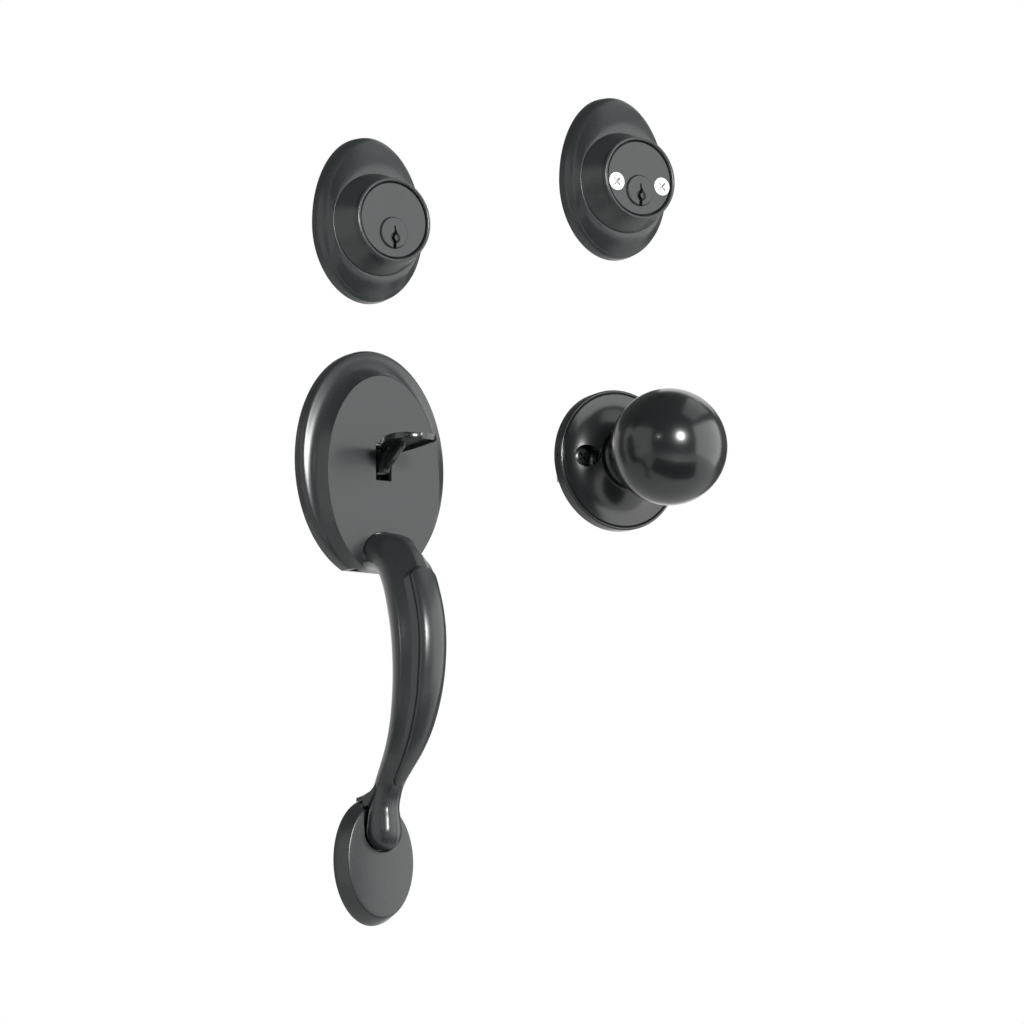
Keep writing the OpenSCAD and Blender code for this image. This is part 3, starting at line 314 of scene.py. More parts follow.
def prism(outline, low, high):
    """An outline in x and y, extruded from height low to height high."""
    bm = bmesh.new()
    verts, _ = draw_loop(bm, [(x, y, low) for x, y in outline])
    face = bm.faces.new(verts)
    made = bmesh.ops.extrude_face_region(bm, geom=[face])["geom"]
    bmesh.ops.translate(bm, vec=(0, 0, high - low),
                        verts=[v for v in made if isinstance(v, bmesh.types.BMVert)])
    bmesh.ops.recalc_face_normals(bm, faces=bm.faces)
    return bm


def rod(radius, low, high, x=0, y=0, segments=48):
    """A round rod along z."""
    bm = bmesh.new()
    bmesh.ops.create_cone(bm, cap_ends=True, segments=segments, radius1=radius, radius2=radius,
                          depth=high - low)
    bmesh.ops.translate(bm, vec=(x, y, (low + high) / 2), verts=bm.verts)
    return bm


def across(bm, x=0, y=0, z=0):
    """Turns a shape made along z so that it lies along x, and moves it."""
    bmesh.ops.rotate(bm, matrix=Matrix.Rotation(math.radians(90), 3, "Y"), verts=bm.verts)
    bmesh.ops.translate(bm, vec=(x, y, z), verts=bm.verts)
    return bm


def side_cut(points, w, x=0):
    """A plate of width w about x, cut to a profile of (height out of the door, height up)."""
    bm = bmesh.new()
    verts, _ = draw_loop(bm, [(x - w / 2, up, out) for out, up in points])
    face = bm.faces.new(verts)
    made = bmesh.ops.extrude_face_region(bm, geom=[face])["geom"]
    bmesh.ops.translate(bm, vec=(w, 0, 0), verts=[v for v in made if isinstance(v, bmesh.types.BMVert)])
    bmesh.ops.recalc_face_normals(bm, faces=bm.faces)
    return bm


def soften(bm, size, angle=40, segments=2):
    """Rounds a shape's sharp edges."""
    sharp = [e for e in bm.edges if e.is_manifold and e.calc_face_angle(0) > math.radians(angle)]
    bmesh.ops.bevel(bm, geom=sharp, offset=size, offset_type="OFFSET", affect="EDGES", segments=segments,
                    profile=0.5, material=-1, clamp_overlap=True)
    return bm


def new_object(name, bm):
    mesh = bpy.data.meshes.new(name)
    bm.to_mesh(mesh)
    bm.free()
    obj = bpy.data.objects.new(name, mesh)
    bpy.context.scene.collection.objects.link(obj)
    return obj


def combine(body, *steps):
    """Adds or cuts shapes, in order. Each step is ("UNION" or "DIFFERENCE" or "INTERSECT", shape)."""
    obj = new_object("blank", body)
    for operation, shape in steps:
        tool = new_object("tool", shape)
        cut = obj.modifiers.new(operation, "BOOLEAN")
        cut.operation, cut.object, cut.solver = operation, tool, "EXACT"
        done = bpy.data.meshes.new_from_object(obj.evaluated_get(bpy.context.evaluated_depsgraph_get()))
        obj.modifiers.clear()
        obj.data = done
        bpy.data.objects.remove(tool)
    bm = bmesh.new()
    bm.from_mesh(obj.data)
    bpy.data.objects.remove(obj)
    bmesh.ops.remove_doubles(bm, verts=bm.verts, dist=2e-7)
    bmesh.ops.holes_fill(bm, edges=[e for e in bm.edges if e.is_boundary])
    return bm


def dress(mesh, finish):
    """Gives a mesh one finish and smooth faces."""
    mesh.materials.clear()
    mesh.materials.append(FINISH[finish])
    mesh.polygons.foreach_set("use_smooth", [True] * len(mesh.polygons))


def place_piece(name, bm, place, slot, body, *nodes, angle, finish=None):
    """Puts a finished shape on the door and lets it stand for its CAD nodes."""
    bm.transform(on_door(place))
    obj = new_object(name, bm)
    dress(obj.data, finish or slot)
    obj.data.polygons.foreach_set("material_index", [0] * len(obj.data.polygons))
    obj.data.set_sharp_from_angle(angle=math.radians(angle))
    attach(obj, body)
    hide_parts(*nodes)
    return obj


class Wire:
    """A shader socket that sums can be written with."""

    def __init__(self, finish, socket):
        self.finish = finish
        self.socket = socket

    def maths(self, operation, *values):
        return self.finish.node("ShaderNodeMath", {"operation": operation}, dict(enumerate(values)))

    def __add__(self, other):
        return self.maths("ADD", self, other)

    def __mul__(self, other):
        return self.maths("MULTIPLY", self, other)

    def over(self, low, high):
        """0 below low, 1 above high, and smooth between them."""
        return self.finish.node("ShaderNodeMapRange", {"interpolation_type": "SMOOTHSTEP"},
                                {"Value": self, "From Min": low, "From Max": high})

    __radd__ = __add__
    __rmul__ = __mul__


class Finish:
    """A material, or the world, whose nodes are added one at a time."""

    def __init__(self, name, kind="materials"):
        self.block = getattr(bpy.data, kind).new(name)
        self.block.use_nodes = True
        self.tree = self.block.node_tree
        self.tree.nodes.clear()

    def node(self, kind, settings, values, output=0):
        made = self.tree.nodes.new(kind)
        for name, value in settings.items():
            setattr(made, name, value)
        for name, value in values.items():
            if isinstance(value, Wire):
                self.tree.links.new(value.socket, made.inputs[name])
            else:
                made.inputs[name].default_value = value
        return Wire(self, made.outputs[output])

    def noise(self, scale, detail):
        place = self.node("ShaderNodeTexCoord", {}, {}, "Object")
        return self.node("ShaderNodeTexNoise", {}, {"Vector": place, "Scale": scale, "Detail": detail},
                         "Fac")

    def blend(self, share, low, high):
        return self.node("ShaderNodeMix", {"data_type": "RGBA"}, {0: share, 6: (*low, 1), 7: (*high, 1)}, 2)

    def bump(self, height, strength, distance):
        return self.node("ShaderNodeBump", {},
                         {"Height": height, "Strength": strength, "Distance": distance})

    def surface(self, **values):
        named = {name.replace("_", " ").title(): value for name, value in values.items()}
        return self.output("ShaderNodeOutputMaterial", self.node("ShaderNodeBsdfPrincipled", {}, named))

    def output(self, kind, shader):
        made = self.tree.nodes.new(kind)
        self.tree.links.new(shader.socket, made.inputs["Surface"])
        return self.block


def brighter(base, gain):
    return [min(1.0, c * gain) for c in base]


def satin_black():
    """Powder coat: fine grain, faint orange peel and a slow drift of its sheen."""
    f = Finish("satin_black")
    base = sizes("handleset_finishes").satin
    grain = f.noise(2600, 3)
    peel = f.noise(420, 2)
    drift = f.noise(38, 2)
    speck = f.blend(grain.over(0.52, 0.72), base, brighter(base, 2.1))
    return f.surface(base_color=speck, roughness=0.24 + 0.06 * drift + 0.05 * grain,
                     normal=f.bump(grain + 0.9 * peel, 0.22, 0.04 * MM))


def gloss_black():
    """Baked enamel with a soft lacquer look."""
    f = Finish("gloss_black")
    base = sizes("handleset_finishes").gloss
    peel = f.noise(300, 2)
    haze = f.noise(55, 3)
    return f.surface(base_color=f.blend(haze, base, brighter(base, 1.5)), roughness=0.2 + 0.06 * haze,
                     normal=f.bump(peel, 0.03, 0.04 * MM), coat_weight=0.25, coat_roughness=0.12)


def black_screw():
    """Blackened steel of the rose screws."""
    f = Finish("black_screw")
    base = sizes("handleset_finishes").screw
    scuff = f.noise(900, 3)
    return f.surface(base_color=f.blend(scuff.over(0.55, 0.8), base, brighter(base, 3)),
                     roughness=0.22 + 0.16 * scuff, normal=f.bump(scuff, 0.1, 0.03 * MM))


def metal(name, base, rough, spread):
    """Bare or plated metal with fine handling marks."""
    f = Finish(name)
    fineness = 700
    marks = f.noise(fineness, 3)
    drift = f.noise(fineness / 9, 2)
    return f.surface(base_color=f.blend(drift.over(0.3, 0.7), brighter(base, 0.82), base), metallic=1.0,
                     roughness=rough + spread * marks, normal=f.bump(marks, 0.06, 0.03 * MM))


FINISH = {}
SLOT_OF = {part["node"]: part["material_slot"] for part in frame["record"]["subparts"]}
# Parts behind the thumb slot and the rose's screw holes, given the black screw finish as painted shade
PAINTED_SHADE_PARTS = {"thumb_guard", "knob_bush"}


class HANDLESET_OT_finishes(Operator):
    """Make the finishes and put them on every CAD node that stays"""

    bl_idname = "handleset.finishes"
    bl_label = "Finishes"

    def execute(self, context):
        colours = sizes("handleset_finishes")
        FINISH["satin_black"] = satin_black()
        FINISH["gloss_black"] = gloss_black()
        FINISH["black_screw"] = black_screw()
        FINISH["bright_steel"] = metal("bright_steel", colours.steel, 0.2, 0.14)
        FINISH["spring_steel"] = metal("spring_steel", colours.spring, 0.26, 0.12)
        FINISH["brass"] = metal("brass", colours.brass, 0.24, 0.14)
        for name, node in frame["nodes"].items():
            # Parts behind the thumb slot and the screw holes take the black screw finish as painted shade, not
            # their own slot's finish
            dress(node.data, "black_screw" if name in PAINTED_SHADE_PARTS else SLOT_OF[name])
            weld = node.modifiers.new("weld", "WELD")
            weld.merge_threshold = 2e-6
            split = node.modifiers.new("split", "EDGE_SPLIT")
            split.split_angle = math.radians(28)
        return {"FINISHED"}


def oval_radius(a, half_w, up, down):
    half_h = up if math.sin(a) >= 0 else down
    return 1 / math.hypot(math.cos(a) / half_w, math.sin(a) / half_h)


# Steps round the lock plate, and the arc of its rounded shoulder in degrees
LOCK_STEPS = 160
SHOULDER_TURN = 60


def lock_plate(s):
    """Egg-shaped casting: side wall, rounded shoulder, crease and a face that climbs to the seat."""
    turns = [math.tau * i / LOCK_STEPS for i in range(LOCK_STEPS)]
    collar = s.collar_d / 2
    hole = s.bore_d / 2 - 0.5 * MM

    def edge(a):
        return oval_radius(a, s.plate_w / 2, s.plate_top, s.plate_bottom)

    def step(a):
        return edge(a) - 0.3 * MM

    def fold(a):
        return min(oval_radius(a, s.face_w / 2, s.face_top, s.face_top - 0.7 * MM), edge(a) - 1.9 * MM)

    def crease(a):
        wave = max(0.0, -math.sin(a) * 1.35 - 0.35) ** 1.4
        return s.crease_h - 2.6 * MM * min(1.0, wave)

    def ring(radius, height):
        return [(radius(a) * math.cos(a), radius(a) * math.sin(a), height(a)) for a in turns]

    def shoulder(k):
        turn = math.radians(SHOULDER_TURN)
        share_w = (1 - math.cos(turn * k)) / (1 - math.cos(turn))
        share_h = math.sin(turn * k) / math.sin(turn)
        return ring(lambda a: mix(step(a), fold(a), share_w), lambda a: mix(s.wall_h, crease(a), share_h))

    def face(k):
        return ring(lambda a: mix(fold(a), collar, k),
                    lambda a: mix(crease(a), s.seat_h, math.sin(math.pi / 2 * k)))

    rings = [ring(edge, lambda a: 0), ring(edge, lambda a: 0.2 * MM), ring(step, lambda a: s.wall_h)]
    rings += [shoulder(k / 12) for k in range(1, 12)]
    rings += [shoulder(1), face(0.025), face(0.06)]
    rings += [face(k / 14) for k in range(2, 15)]
    rings += [ring(lambda a: hole, lambda a: s.seat_h), ring(lambda a: hole, lambda a: s.seat_h - s.wall)]
    rings += [ring(lambda a: collar - s.wall, lambda a: s.seat_h - s.wall),
              ring(lambda a: fold(a) - 0.8 * s.wall, lambda a: crease(a) - s.wall),
              ring(lambda a: edge(a) - s.wall, lambda a: min(s.wall_h, crease(a) - s.wall) - 0.9 * MM),
              ring(lambda a: edge(a) - s.wall, lambda a: 0)]
    return loft(rings, hollow=True)


def lock_collar(s):
    """Turned cone with a rounded lip, hollow behind the ledge that holds the cylinder."""
    base, lip, bore = s.collar_d / 2, s.lip_d / 2, s.bore_d / 2
    ledge_r = bore - 1.1 * MM
    ledge_h = s.front_h - s.face_recess - s.disc_h - 0.05 * MM
    lip_r = (lip - bore) / 2
    lip_h = s.front_h - lip_r
    profile = [(ledge_r, ledge_h - 3 * MM), (ledge_r + 0.5 * MM, ledge_h - 3.4 * MM)]
    profile += [(base - 3.4 * MM, s.seat_h), (base - 0.35 * MM, s.seat_h)]
    profile += arc(base - 0.35 * MM, s.seat_h + 0.35 * MM, 0.35 * MM, -80, 15, 4)
    profile += spline([(base - 0.15 * MM, s.seat_h + 0.9 * MM), (lip - 0.55 * MM, lip_h - 1.7 * MM),
                       (lip - 0.45 * MM, lip_h - 0.9 * MM)], 6)
    profile += arc((lip + bore) / 2, lip_h, lip_r, -35, 172, 16)
    profile += [(bore, lip_h - 0.2 * MM), (bore, ledge_h), (ledge_r, ledge_h)]
    return turned(profile)


class HANDLESET_OT_locks(Operator):
    """Model the two deadbolt trims: plate and collar"""

    bl_idname = "handleset.locks"
    bl_label = "Deadbolt trims"

    def execute(self, context):
        s = sizes("handleset_lock")
        for side, place in (("outer", OUTER_LOCK), ("inner", INNER_LOCK)):
            place_piece(f"{side}_lock_escutcheon", lock_plate(s), place, "satin_black", "root",
                        f"{side}_lock_plate", angle=24)
            place_piece(f"{side}_lock_ring", lock_collar(s), place, "satin_black", "root",
                        f"{side}_lock_collar", angle=40)
        return {"FINISHED"}


def cut_oval(half_w, half_h, centre, flat, h, steps=168):
    """An oval whose bottom is cut off flat, from one corner over the top to the other."""
    start = math.asin(max(-1.0, (flat - centre) / half_h))
    turns = [mix(start, math.pi - start, i / steps) for i in range(steps + 1)]
    return [(half_w * math.cos(a), centre + half_h * math.sin(a), h) for a in turns]


def plate_ring(s, w, h, inset):
    """A ring of the grip plate: w is the share of the way from its edge to its face."""
    return cut_oval(mix(s.plate_w, s.face_w, w) / 2 - inset, mix(s.oval_h, s.face_h, w) / 2 - inset,
                    mix(s.oval_up, 0, w), inset - s.flat_drop, h)


# Moulding of the grip plate: share of the way from edge to face, and share of the height
PLATE_WALL = [(0, 0), (0, 0.02), (0, 0.25)]
PLATE_MOULDING = [(0, 0.25), (0.006, 0.30), (0.035, 0.36), (0.10, 0.405), (0.20, 0.432), (0.34, 0.46),
                  (0.50, 0.505), (0.66, 0.58), (0.80, 0.69), (0.91, 0.825), (0.985, 0.975)]
PLATE_HOLLOW = [(1, 1), (0.62, 0.62), (0, 0.30), (0, 0)]


def arch_outline(s, gap):
    """Round-topped opening that runs out of the plate's bottom."""
    r = s.arch_w / 2 + gap
    centre = -s.arch_drop - s.arch_w / 2
    return [(-r, centre - 40 * MM), (r, centre - 40 * MM)] + arc(0, centre, r, 0, 180, 56)


def flared(outline, outline_out, low, edge, high):
    """A cutter that runs straight up to the height edge and flares to its second outline at high."""
    return loft([[(x, y, low) for x, y in outline], [(x, y, edge) for x, y in outline],
                 [(x, y, high) for x, y in outline_out]])


def box_outline(x0, x1, y0, y1):
    return [(x0, y0), (x1, y0), (x1, y1), (x0, y1)]


def grip_plate(s, lever):
    """Cast shell with its moulding, thumb slot, arch, post bosses and pivot lugs."""
    ceiling = s.front_h - s.wall
    rings = [plate_ring(s, w, h * ceiling, s.wall) for w, h in PLATE_HOLLOW]
    rings += [plate_ring(s, w, h * s.front_h, 0) for w, h in PLATE_WALL]
    rings += [plate_ring(s, w, h * s.front_h, 0) for w, h in spline(PLATE_MOULDING, 4)[1:]]
    rings += [plate_ring(s, 0.996, 0.995 * s.front_h, 0), plate_ring(s, 1.006, s.front_h, 0)]
    edge = s.front_h - 0.3 * MM
    top = s.front_h + 0.1 * MM
    flare = 0.4 * MM
    half = s.slot_w / 2
    slot = box_outline(-half, half, s.slot_low, s.slot_high)
    slot_edge = box_outline(-half - flare, half + flare, s.slot_low - flare, s.slot_high + flare)
    steps = [("DIFFERENCE", flared(arch_outline(s, 0), arch_outline(s, flare), 2 * MM, edge, top)),
             ("DIFFERENCE", flared(slot, slot_edge, ceiling - MM, edge, top))]
    lug_gap = half + 0.3 * MM
    lug_w = 2.4 * MM
    for side in (-1, 1):
        boss_h = ceiling - 2.6 * MM
        x = side * POST_SPAN / 2
        steps.append(("UNION", rod(5.5 * MM, boss_h, boss_h + 3.4 * MM, x)))
        steps.append(("DIFFERENCE", rod(2.55 * MM, boss_h - 0.1 * MM, boss_h + 3 * MM, x)))
        lug = [(ceiling + 0.4 * MM, PIVOT_UP - 6 * MM), (ceiling + 0.4 * MM, PIVOT_UP + 6 * MM),
               (PIVOT_OUT - 2.6 * MM, PIVOT_UP + 3.4 * MM), (PIVOT_OUT - 2.6 * MM, PIVOT_UP - 3.4 * MM)]
        steps.append(("UNION", side_cut(lug, lug_w, side * (lug_gap + lug_w / 2))))
    hole = lever.pivot_d / 2 + 0.05 * MM
    steps.append(("DIFFERENCE", across(rod(hole, -20 * MM, 20 * MM), 0, PIVOT_UP, PIVOT_OUT)))
    return combine(loft(rings), *steps)


class HANDLESET_OT_grip_plate(Operator):
    """Model the plate that carries the grip and the thumb lever"""

    bl_idname = "handleset.grip_plate"
    bl_label = "Grip plate"

    def execute(self, context):
        shape = grip_plate(sizes("handleset_plate"), sizes("handleset_lever"))
        place_piece("grip_plate_casting", shape, GRIP, "satin_black", "root", "grip_plate", angle=26)
        return {"FINISHED"}


# Stations of the grip: share of the way from root to foot, share of the reach, then width, front and
# back as shares of the fullest section
BODY_STATIONS = [
    (0, 0.06, 0.830, 0.760, 0.680), (0, 0.27, 0.836, 0.765, 0.690),
    (0.020, 0.50, 0.890, 0.820, 0.760), (0.070, 0.692, 0.952, 0.905, 0.835),
    (0.150, 0.828, 0.984, 0.960, 0.905), (0.244, 0.921, 1, 1, 0.955),
    (0.347, 0.982, 0.990, 1.02, 0.975), (0.451, 1, 0.965, 1.00, 0.955),
    (0.559, 0.982, 0.925, 0.935, 0.905), (0.662, 0.925, 0.875, 0.835, 0.815),
    (0.766, 0.825, 0.800, 0.710, 0.690), (0.855, 0.685, 0.700, 0.605, 0.585),
    (0.930, 0.522, 0.590, 0.530, 0.500),
]
# Stations of the foot in millimetres: height above the foot plate's centre, height out of the door,
# then half width, front and back
FOOT_STATIONS = [
    (32, 17, 6.5, 5.6, 5.6), (24.4, 14, 6.3, 5.8, 6.6), (17.4, 13, 7.3, 7.2, 6.6),
    (11.4, 12.8, 7.7, 7.7, 6.7), (7, 12.8, 6.1, 6.3, 6), (4.4, 12.6, 2.6, 3.2, 3),
]
# Where the raised panel starts and ends, and how long its round start is, all counted in stations
PANEL_START = 4.05
PANEL_END = 12.45
PANEL_TURN = 0.55
GRIP_STEP = 0.1


def grip_stations(s):
    foot_top = FOOT[1] + FOOT_STATIONS[0][0] * MM
    body = [(s.out * out, mix(-s.root_drop, foot_top, down), s.w / 2 * w, s.t / 2 * front, s.t / 2 * back)
            for down, out, w, front, back in BODY_STATIONS]
    foot = [(out * MM, FOOT[1] + up * MM, w * MM, front * MM, back * MM)
            for up, out, w, front, back in FOOT_STATIONS]
    return body + foot


def station(stations, u):
    """The section's place and size at u stations along the grip."""
    i = max(0, min(int(math.floor(u)), len(stations) - 2))
    last = len(stations) - 1
    around = [stations[max(i - 1, 0)], stations[i], stations[i + 1], stations[min(i + 2, last)]]
    return between(around, u - i)


def panel_share(u):
    """How much of the raised panel's width stands at u."""
    if not PANEL_START < u < PANEL_END:
        return 0.0
    a = min(1.0, (u - PANEL_START) / PANEL_TURN)
    b = min(1.0, (PANEL_END - u) / 0.3)
    return math.sqrt(1 - (1 - a) ** 2) * math.sqrt(1 - (1 - b) ** 2)


def panel_half(s, u):
    past = max(0.0, (u - 6) / (PANEL_END - 6))
    taper = mix(1, 0.26, past ** 1.1)
    return 1.2 * MM + max(0.0, s.panel_w / 2 * taper - 1.2 * MM) * panel_share(u)


def grip_section(s, a, front, back, panel, up, ridge):
    """Outline of the grip at one station: half width a, front and back heights, half width of the panel.

    Where ridge is 1 the side ends in a ridge, and a flat flank runs from it to the lip round the panel.
    """

    def crown(x):
        return front * max(0.0, 1 - (abs(x) / a) ** 2.3) ** 0.55

    lip_foot = panel + 2.0 * MM
    lip = panel + 0.9 * MM
    ridge_h = 0.2 * front
    dip = crown(lip_foot) - 0.42 * panel
    groove = s.panel_groove * up
    lift = s.panel_raise * up

    def flank(t):
        x = mix(a, lip_foot, t)
        return x, mix(crown(x), mix(ridge_h, dip, t ** 1.25), ridge)

    def lip_rise(t):
        x = mix(lip_foot, lip, t)
        return x, mix(crown(x), mix(dip, crown(lip), math.sin(math.pi / 2 * t) ** 1.3), ridge)

    curve = [(0, -1), (0.42, -0.985), (0.74, -0.86), (0.93, -0.52)]
    side = spline([(x * a, y * back) for x, y in curve], 5)[:-1]
    side += [(x * a, y * back) for x, y in [(0.955, -0.44), (0.985, -0.28), (1, -0.08)]]
    side += [(a, ridge_h * ridge * t) for t in (0.45, 0.8)]
    front_side = [flank(t) for t in (0.012, 0.03, 0.07, 0.13, 0.22, 0.34, 0.48, 0.63, 0.78, 0.9, 0.97)]
    rise = [lip_rise(t) for t in (0.04, 0.15, 0.3, 0.45, 0.6, 0.75, 0.88, 1)]
    trough = [(panel + 0.7 * MM, crown(panel + MM) - 0.3 * groove),
              (panel + 0.55 * MM, crown(panel + MM) - groove),
              (panel + 0.35 * MM, crown(panel) - groove), (panel + 0.15 * MM, crown(panel) + 0.15 * lift),
              (panel, crown(panel) + 0.7 * lift), (panel - 0.35 * MM, crown(panel) + 0.95 * lift)]
    top = [(panel * t, crown(panel * t) + lift * mix(1.2, 1.02, t ** 2))
           for t in (0.85, 0.68, 0.5, 0.32, 0.15)]
    half = side + front_side + rise + trough + top + [(0, front + 1.2 * lift)]
    return half + [(-x, y) for x, y in half[-2:0:-1]]


def ridge_share(u):
    """How sharp the ridge down the grip's side is at u."""
    start = min(1.0, max(0.0, u - 2.2))
    end = min(1.0, max(0.0, (PANEL_END + 0.9 - u) / 1.6))
    return math.sin(math.pi / 2 * start) * math.sin(math.pi / 2 * end)


def grip_ring(s, stations, u):
    out, up, half_w, front, back = station(stations, u)
    ahead = station(stations, min(u + 0.02, len(stations) - 1))
    behind = station(stations, u - 0.02)
    along = Vector((ahead[0] - behind[0], ahead[1] - behind[1])).normalized()
    share = panel_share(u)
    panel = min(panel_half(s, u), half_w * 0.5)
    raised = min(1.0, share * 3)
    return [(x, up + y * along.x, out - y * along.y)
            for x, y in grip_section(s, half_w, front, back, panel, raised, ridge_share(u))]


def flat_oval(w, h, steps=96):
    return [(w / 2 * math.cos(math.tau * i / steps),
             h / 2 * math.sin(math.tau * i / steps)) for i in range(steps)]


def moved_up(bm, up):
    bmesh.ops.translate(bm, vec=(0, up, 0), verts=bm.verts)
    return bm


def grip(s, foot):
    """Grip swept from its root in the plate down to its foot, with its tongue, skirt and foot boss."""
    stations = grip_stations(s)
    last = len(stations) - 1
    marks = {round(i * GRIP_STEP, 4) for i in range(int(last / GRIP_STEP) + 1)} | {float(last)}
    marks |= {PANEL_START + past for past in (0.02, 0.05, 0.15)}
    marks |= {PANEL_END - short for short in (0.02, 0.05, 0.15, 0.25)}
    centre = FOOT[1]
    skirt = [(0.1, 28.6), (0.1, 24), (9.5, 24), (15, 30), (16, 33.4), (14, 31.8), (11.6, 30.4), (6, 29.1)]
    skirt = side_cut([(out * MM, centre + up * MM) for out, up in skirt], 14.4 * MM)
    taper = [(-7.2, -10), (7.2, -10), (6.2, 12), (-6.2, 12)]
    taper = prism([(x * MM, centre + (30 + y) * MM) for x, y in taper], 0, 20 * MM)
    clear = moved_up(prism(flat_oval(foot.w + 0.6 * MM, foot.h + 0.6 * MM), -MM, foot.edge_h - MM), centre)
    inner = box_outline(-20 * MM, 20 * MM, foot.recess_up - 20 * MM, foot.recess_up + 40 * MM)
    keep_in = moved_up(prism(inner, foot.recess_h + 0.05 * MM, 30 * MM), centre)
    boss = rod(foot.boss_d / 2, 0.4 * MM, 10.4 * MM, 0, centre + foot.boss_up)
    round_boss = rod(foot.boss_d / 2 - 0.03 * MM, -3 * MM, 20 * MM, 0, centre + foot.boss_up)
    under = combine(clear, ("DIFFERENCE", keep_in), ("DIFFERENCE", round_boss))
    skirt = combine(skirt, ("INTERSECT", taper))
    tap = rod(2.1 * MM, -MM, 12 * MM, 0, centre + foot.boss_up)
    return combine(loft([grip_ring(s, stations, u) for u in sorted(marks)]),
                   ("UNION", skirt), ("UNION", boss), ("DIFFERENCE", under), ("DIFFERENCE", tap))


class HANDLESET_OT_grip(Operator):
    """Model the curved grip with its raised panel"""

    bl_idname = "handleset.grip"
    bl_label = "Grip"

    def execute(self, context):
        shape = grip(sizes("handleset_grip"), sizes("handleset_foot"))
        place_piece("grip_casting", shape, GRIP, "satin_black", "root", "grip_handle", angle=38)
        return {"FINISHED"}


def recess_outline(s, gap):
    r = s.recess_w / 2 + gap
    centre = s.recess_up + s.recess_w / 2
    return arc(0, centre, r, 180, 360, 48) + [(r, centre + 40 * MM), (-r, centre + 40 * MM)]


def foot_plate(s):
    """Crowned oval shell with a round-ended recess for the grip's foot."""
    wall = 2.2 * MM

    def ring(w, inset, h, scale=1.0):
        x = (mix(s.w, s.face_w, w) / 2 - inset) * scale
        y = (mix(s.h, s.face_h, w) / 2 - inset) * scale
        return [(u, v, h) for u, v in flat_oval(2 * x, 2 * y, 144)]

    rings = [ring(1, wall, s.edge_h - wall + s.crown * (1 - k * k), k) for k in (0.1, 0.5)]
    rings += [ring(1, wall, s.edge_h - wall), ring(0, wall, 1.5 * MM), ring(0, wall, 0)]
    rings += [ring(0, 0, 0), ring(0, 0, 0.15 * MM), ring(0.1, 0, 2.4 * MM),
              ring(0.9, 0.03 * MM, s.edge_h - 1.2 * MM)]
    edge = [(0.97, 0.08, -0.72), (0.99, 0.2, -0.4), (1, 0.42, -0.15), (1, 0.7, -0.02), (1, 1.0, 0.04)]
    rings += [ring(w, inset * MM, s.edge_h + h * MM) for w, inset, h in edge]
    for k in (0.9, 0.8, 0.66, 0.5, 0.33, 0.17, 0.05):
        rings.append(ring(1, 0.8 * MM, s.edge_h + s.crown * (1 - k * k), k))
    bowl = combine(prism(recess_outline(s, 1.8 * MM), s.recess_h - 2.2 * MM, s.edge_h - 0.6 * MM),
                   ("INTERSECT", prism(flat_oval(s.face_w - MM, s.face_h - MM), 0, s.edge_h)))
    cutter = flared(recess_outline(s, 0), recess_outline(s, 0.5 * MM), s.recess_h, s.edge_h + 0.5 * MM,
                    s.edge_h + s.crown)
    return combine(loft(rings), ("UNION", bowl), ("DIFFERENCE", cutter),
                   ("DIFFERENCE", rod(s.boss_d / 2 + 0.2 * MM, -MM, 20 * MM, 0, s.boss_up)))


class HANDLESET_OT_foot_plate(Operator):
    """Model the plate under the grip's foot"""

    bl_idname = "handleset.foot_plate"
    bl_label = "Foot plate"

    def execute(self, context):
        shape = foot_plate(sizes("handleset_foot"))
        place_piece("foot_plate_casting", shape, FOOT, "satin_black", "root", "foot_plate", angle=30)
        return {"FINISHED"}


# How square the thumb pad's outline is towards its tip and towards its back
PAD_TIP_POWER = 5.1
PAD_BACK_POWER = 1.41
# Where the pad's rows have their points: shares of the half width, close together at the rim
PAD_RIM_SHARES = [0.86, 0.885, 0.95, 0.985, 1]
PAD_HALF = [0.18, 0.36, 0.54, 0.72] + PAD_RIM_SHARES
PAD_SHARES = [-share for share in reversed(PAD_HALF)] + [0] + PAD_HALF


def pad_ring(s, k):
    """A row across the thumb pad, k of the way from its back to its tip. Its rim turns down."""
    along = 2 * k - 1
    power = PAD_TIP_POWER if along > 0 else PAD_BACK_POWER
    half = s.pad_w / 2 * max(0.02, 1 - abs(along) ** power) ** 0.55
    rim = PIVOT_UP + (2.9 + 8.4 * k - 6.1 * k * k) * MM
    out = mix(s.pad_back, s.pad_out, k)
    tray = min(1.0, max(0.0, (0.955 - k) / 0.03), max(0.0, k / 0.08))

    def over(side):
        return rim - 0.6 * MM * (1 - abs(side) ** 2.4)

    def under(side):
        inner = min(1.0, max(0.0, (0.885 - abs(side)) / 0.025)) * tray
        return mix(rim - s.pad_t, over(side) - s.pad_plate, inner)

    return ([(half * side, under(side), out) for side in PAD_SHARES]
            + [(half * side, over(side), out) for side in reversed(PAD_SHARES)])


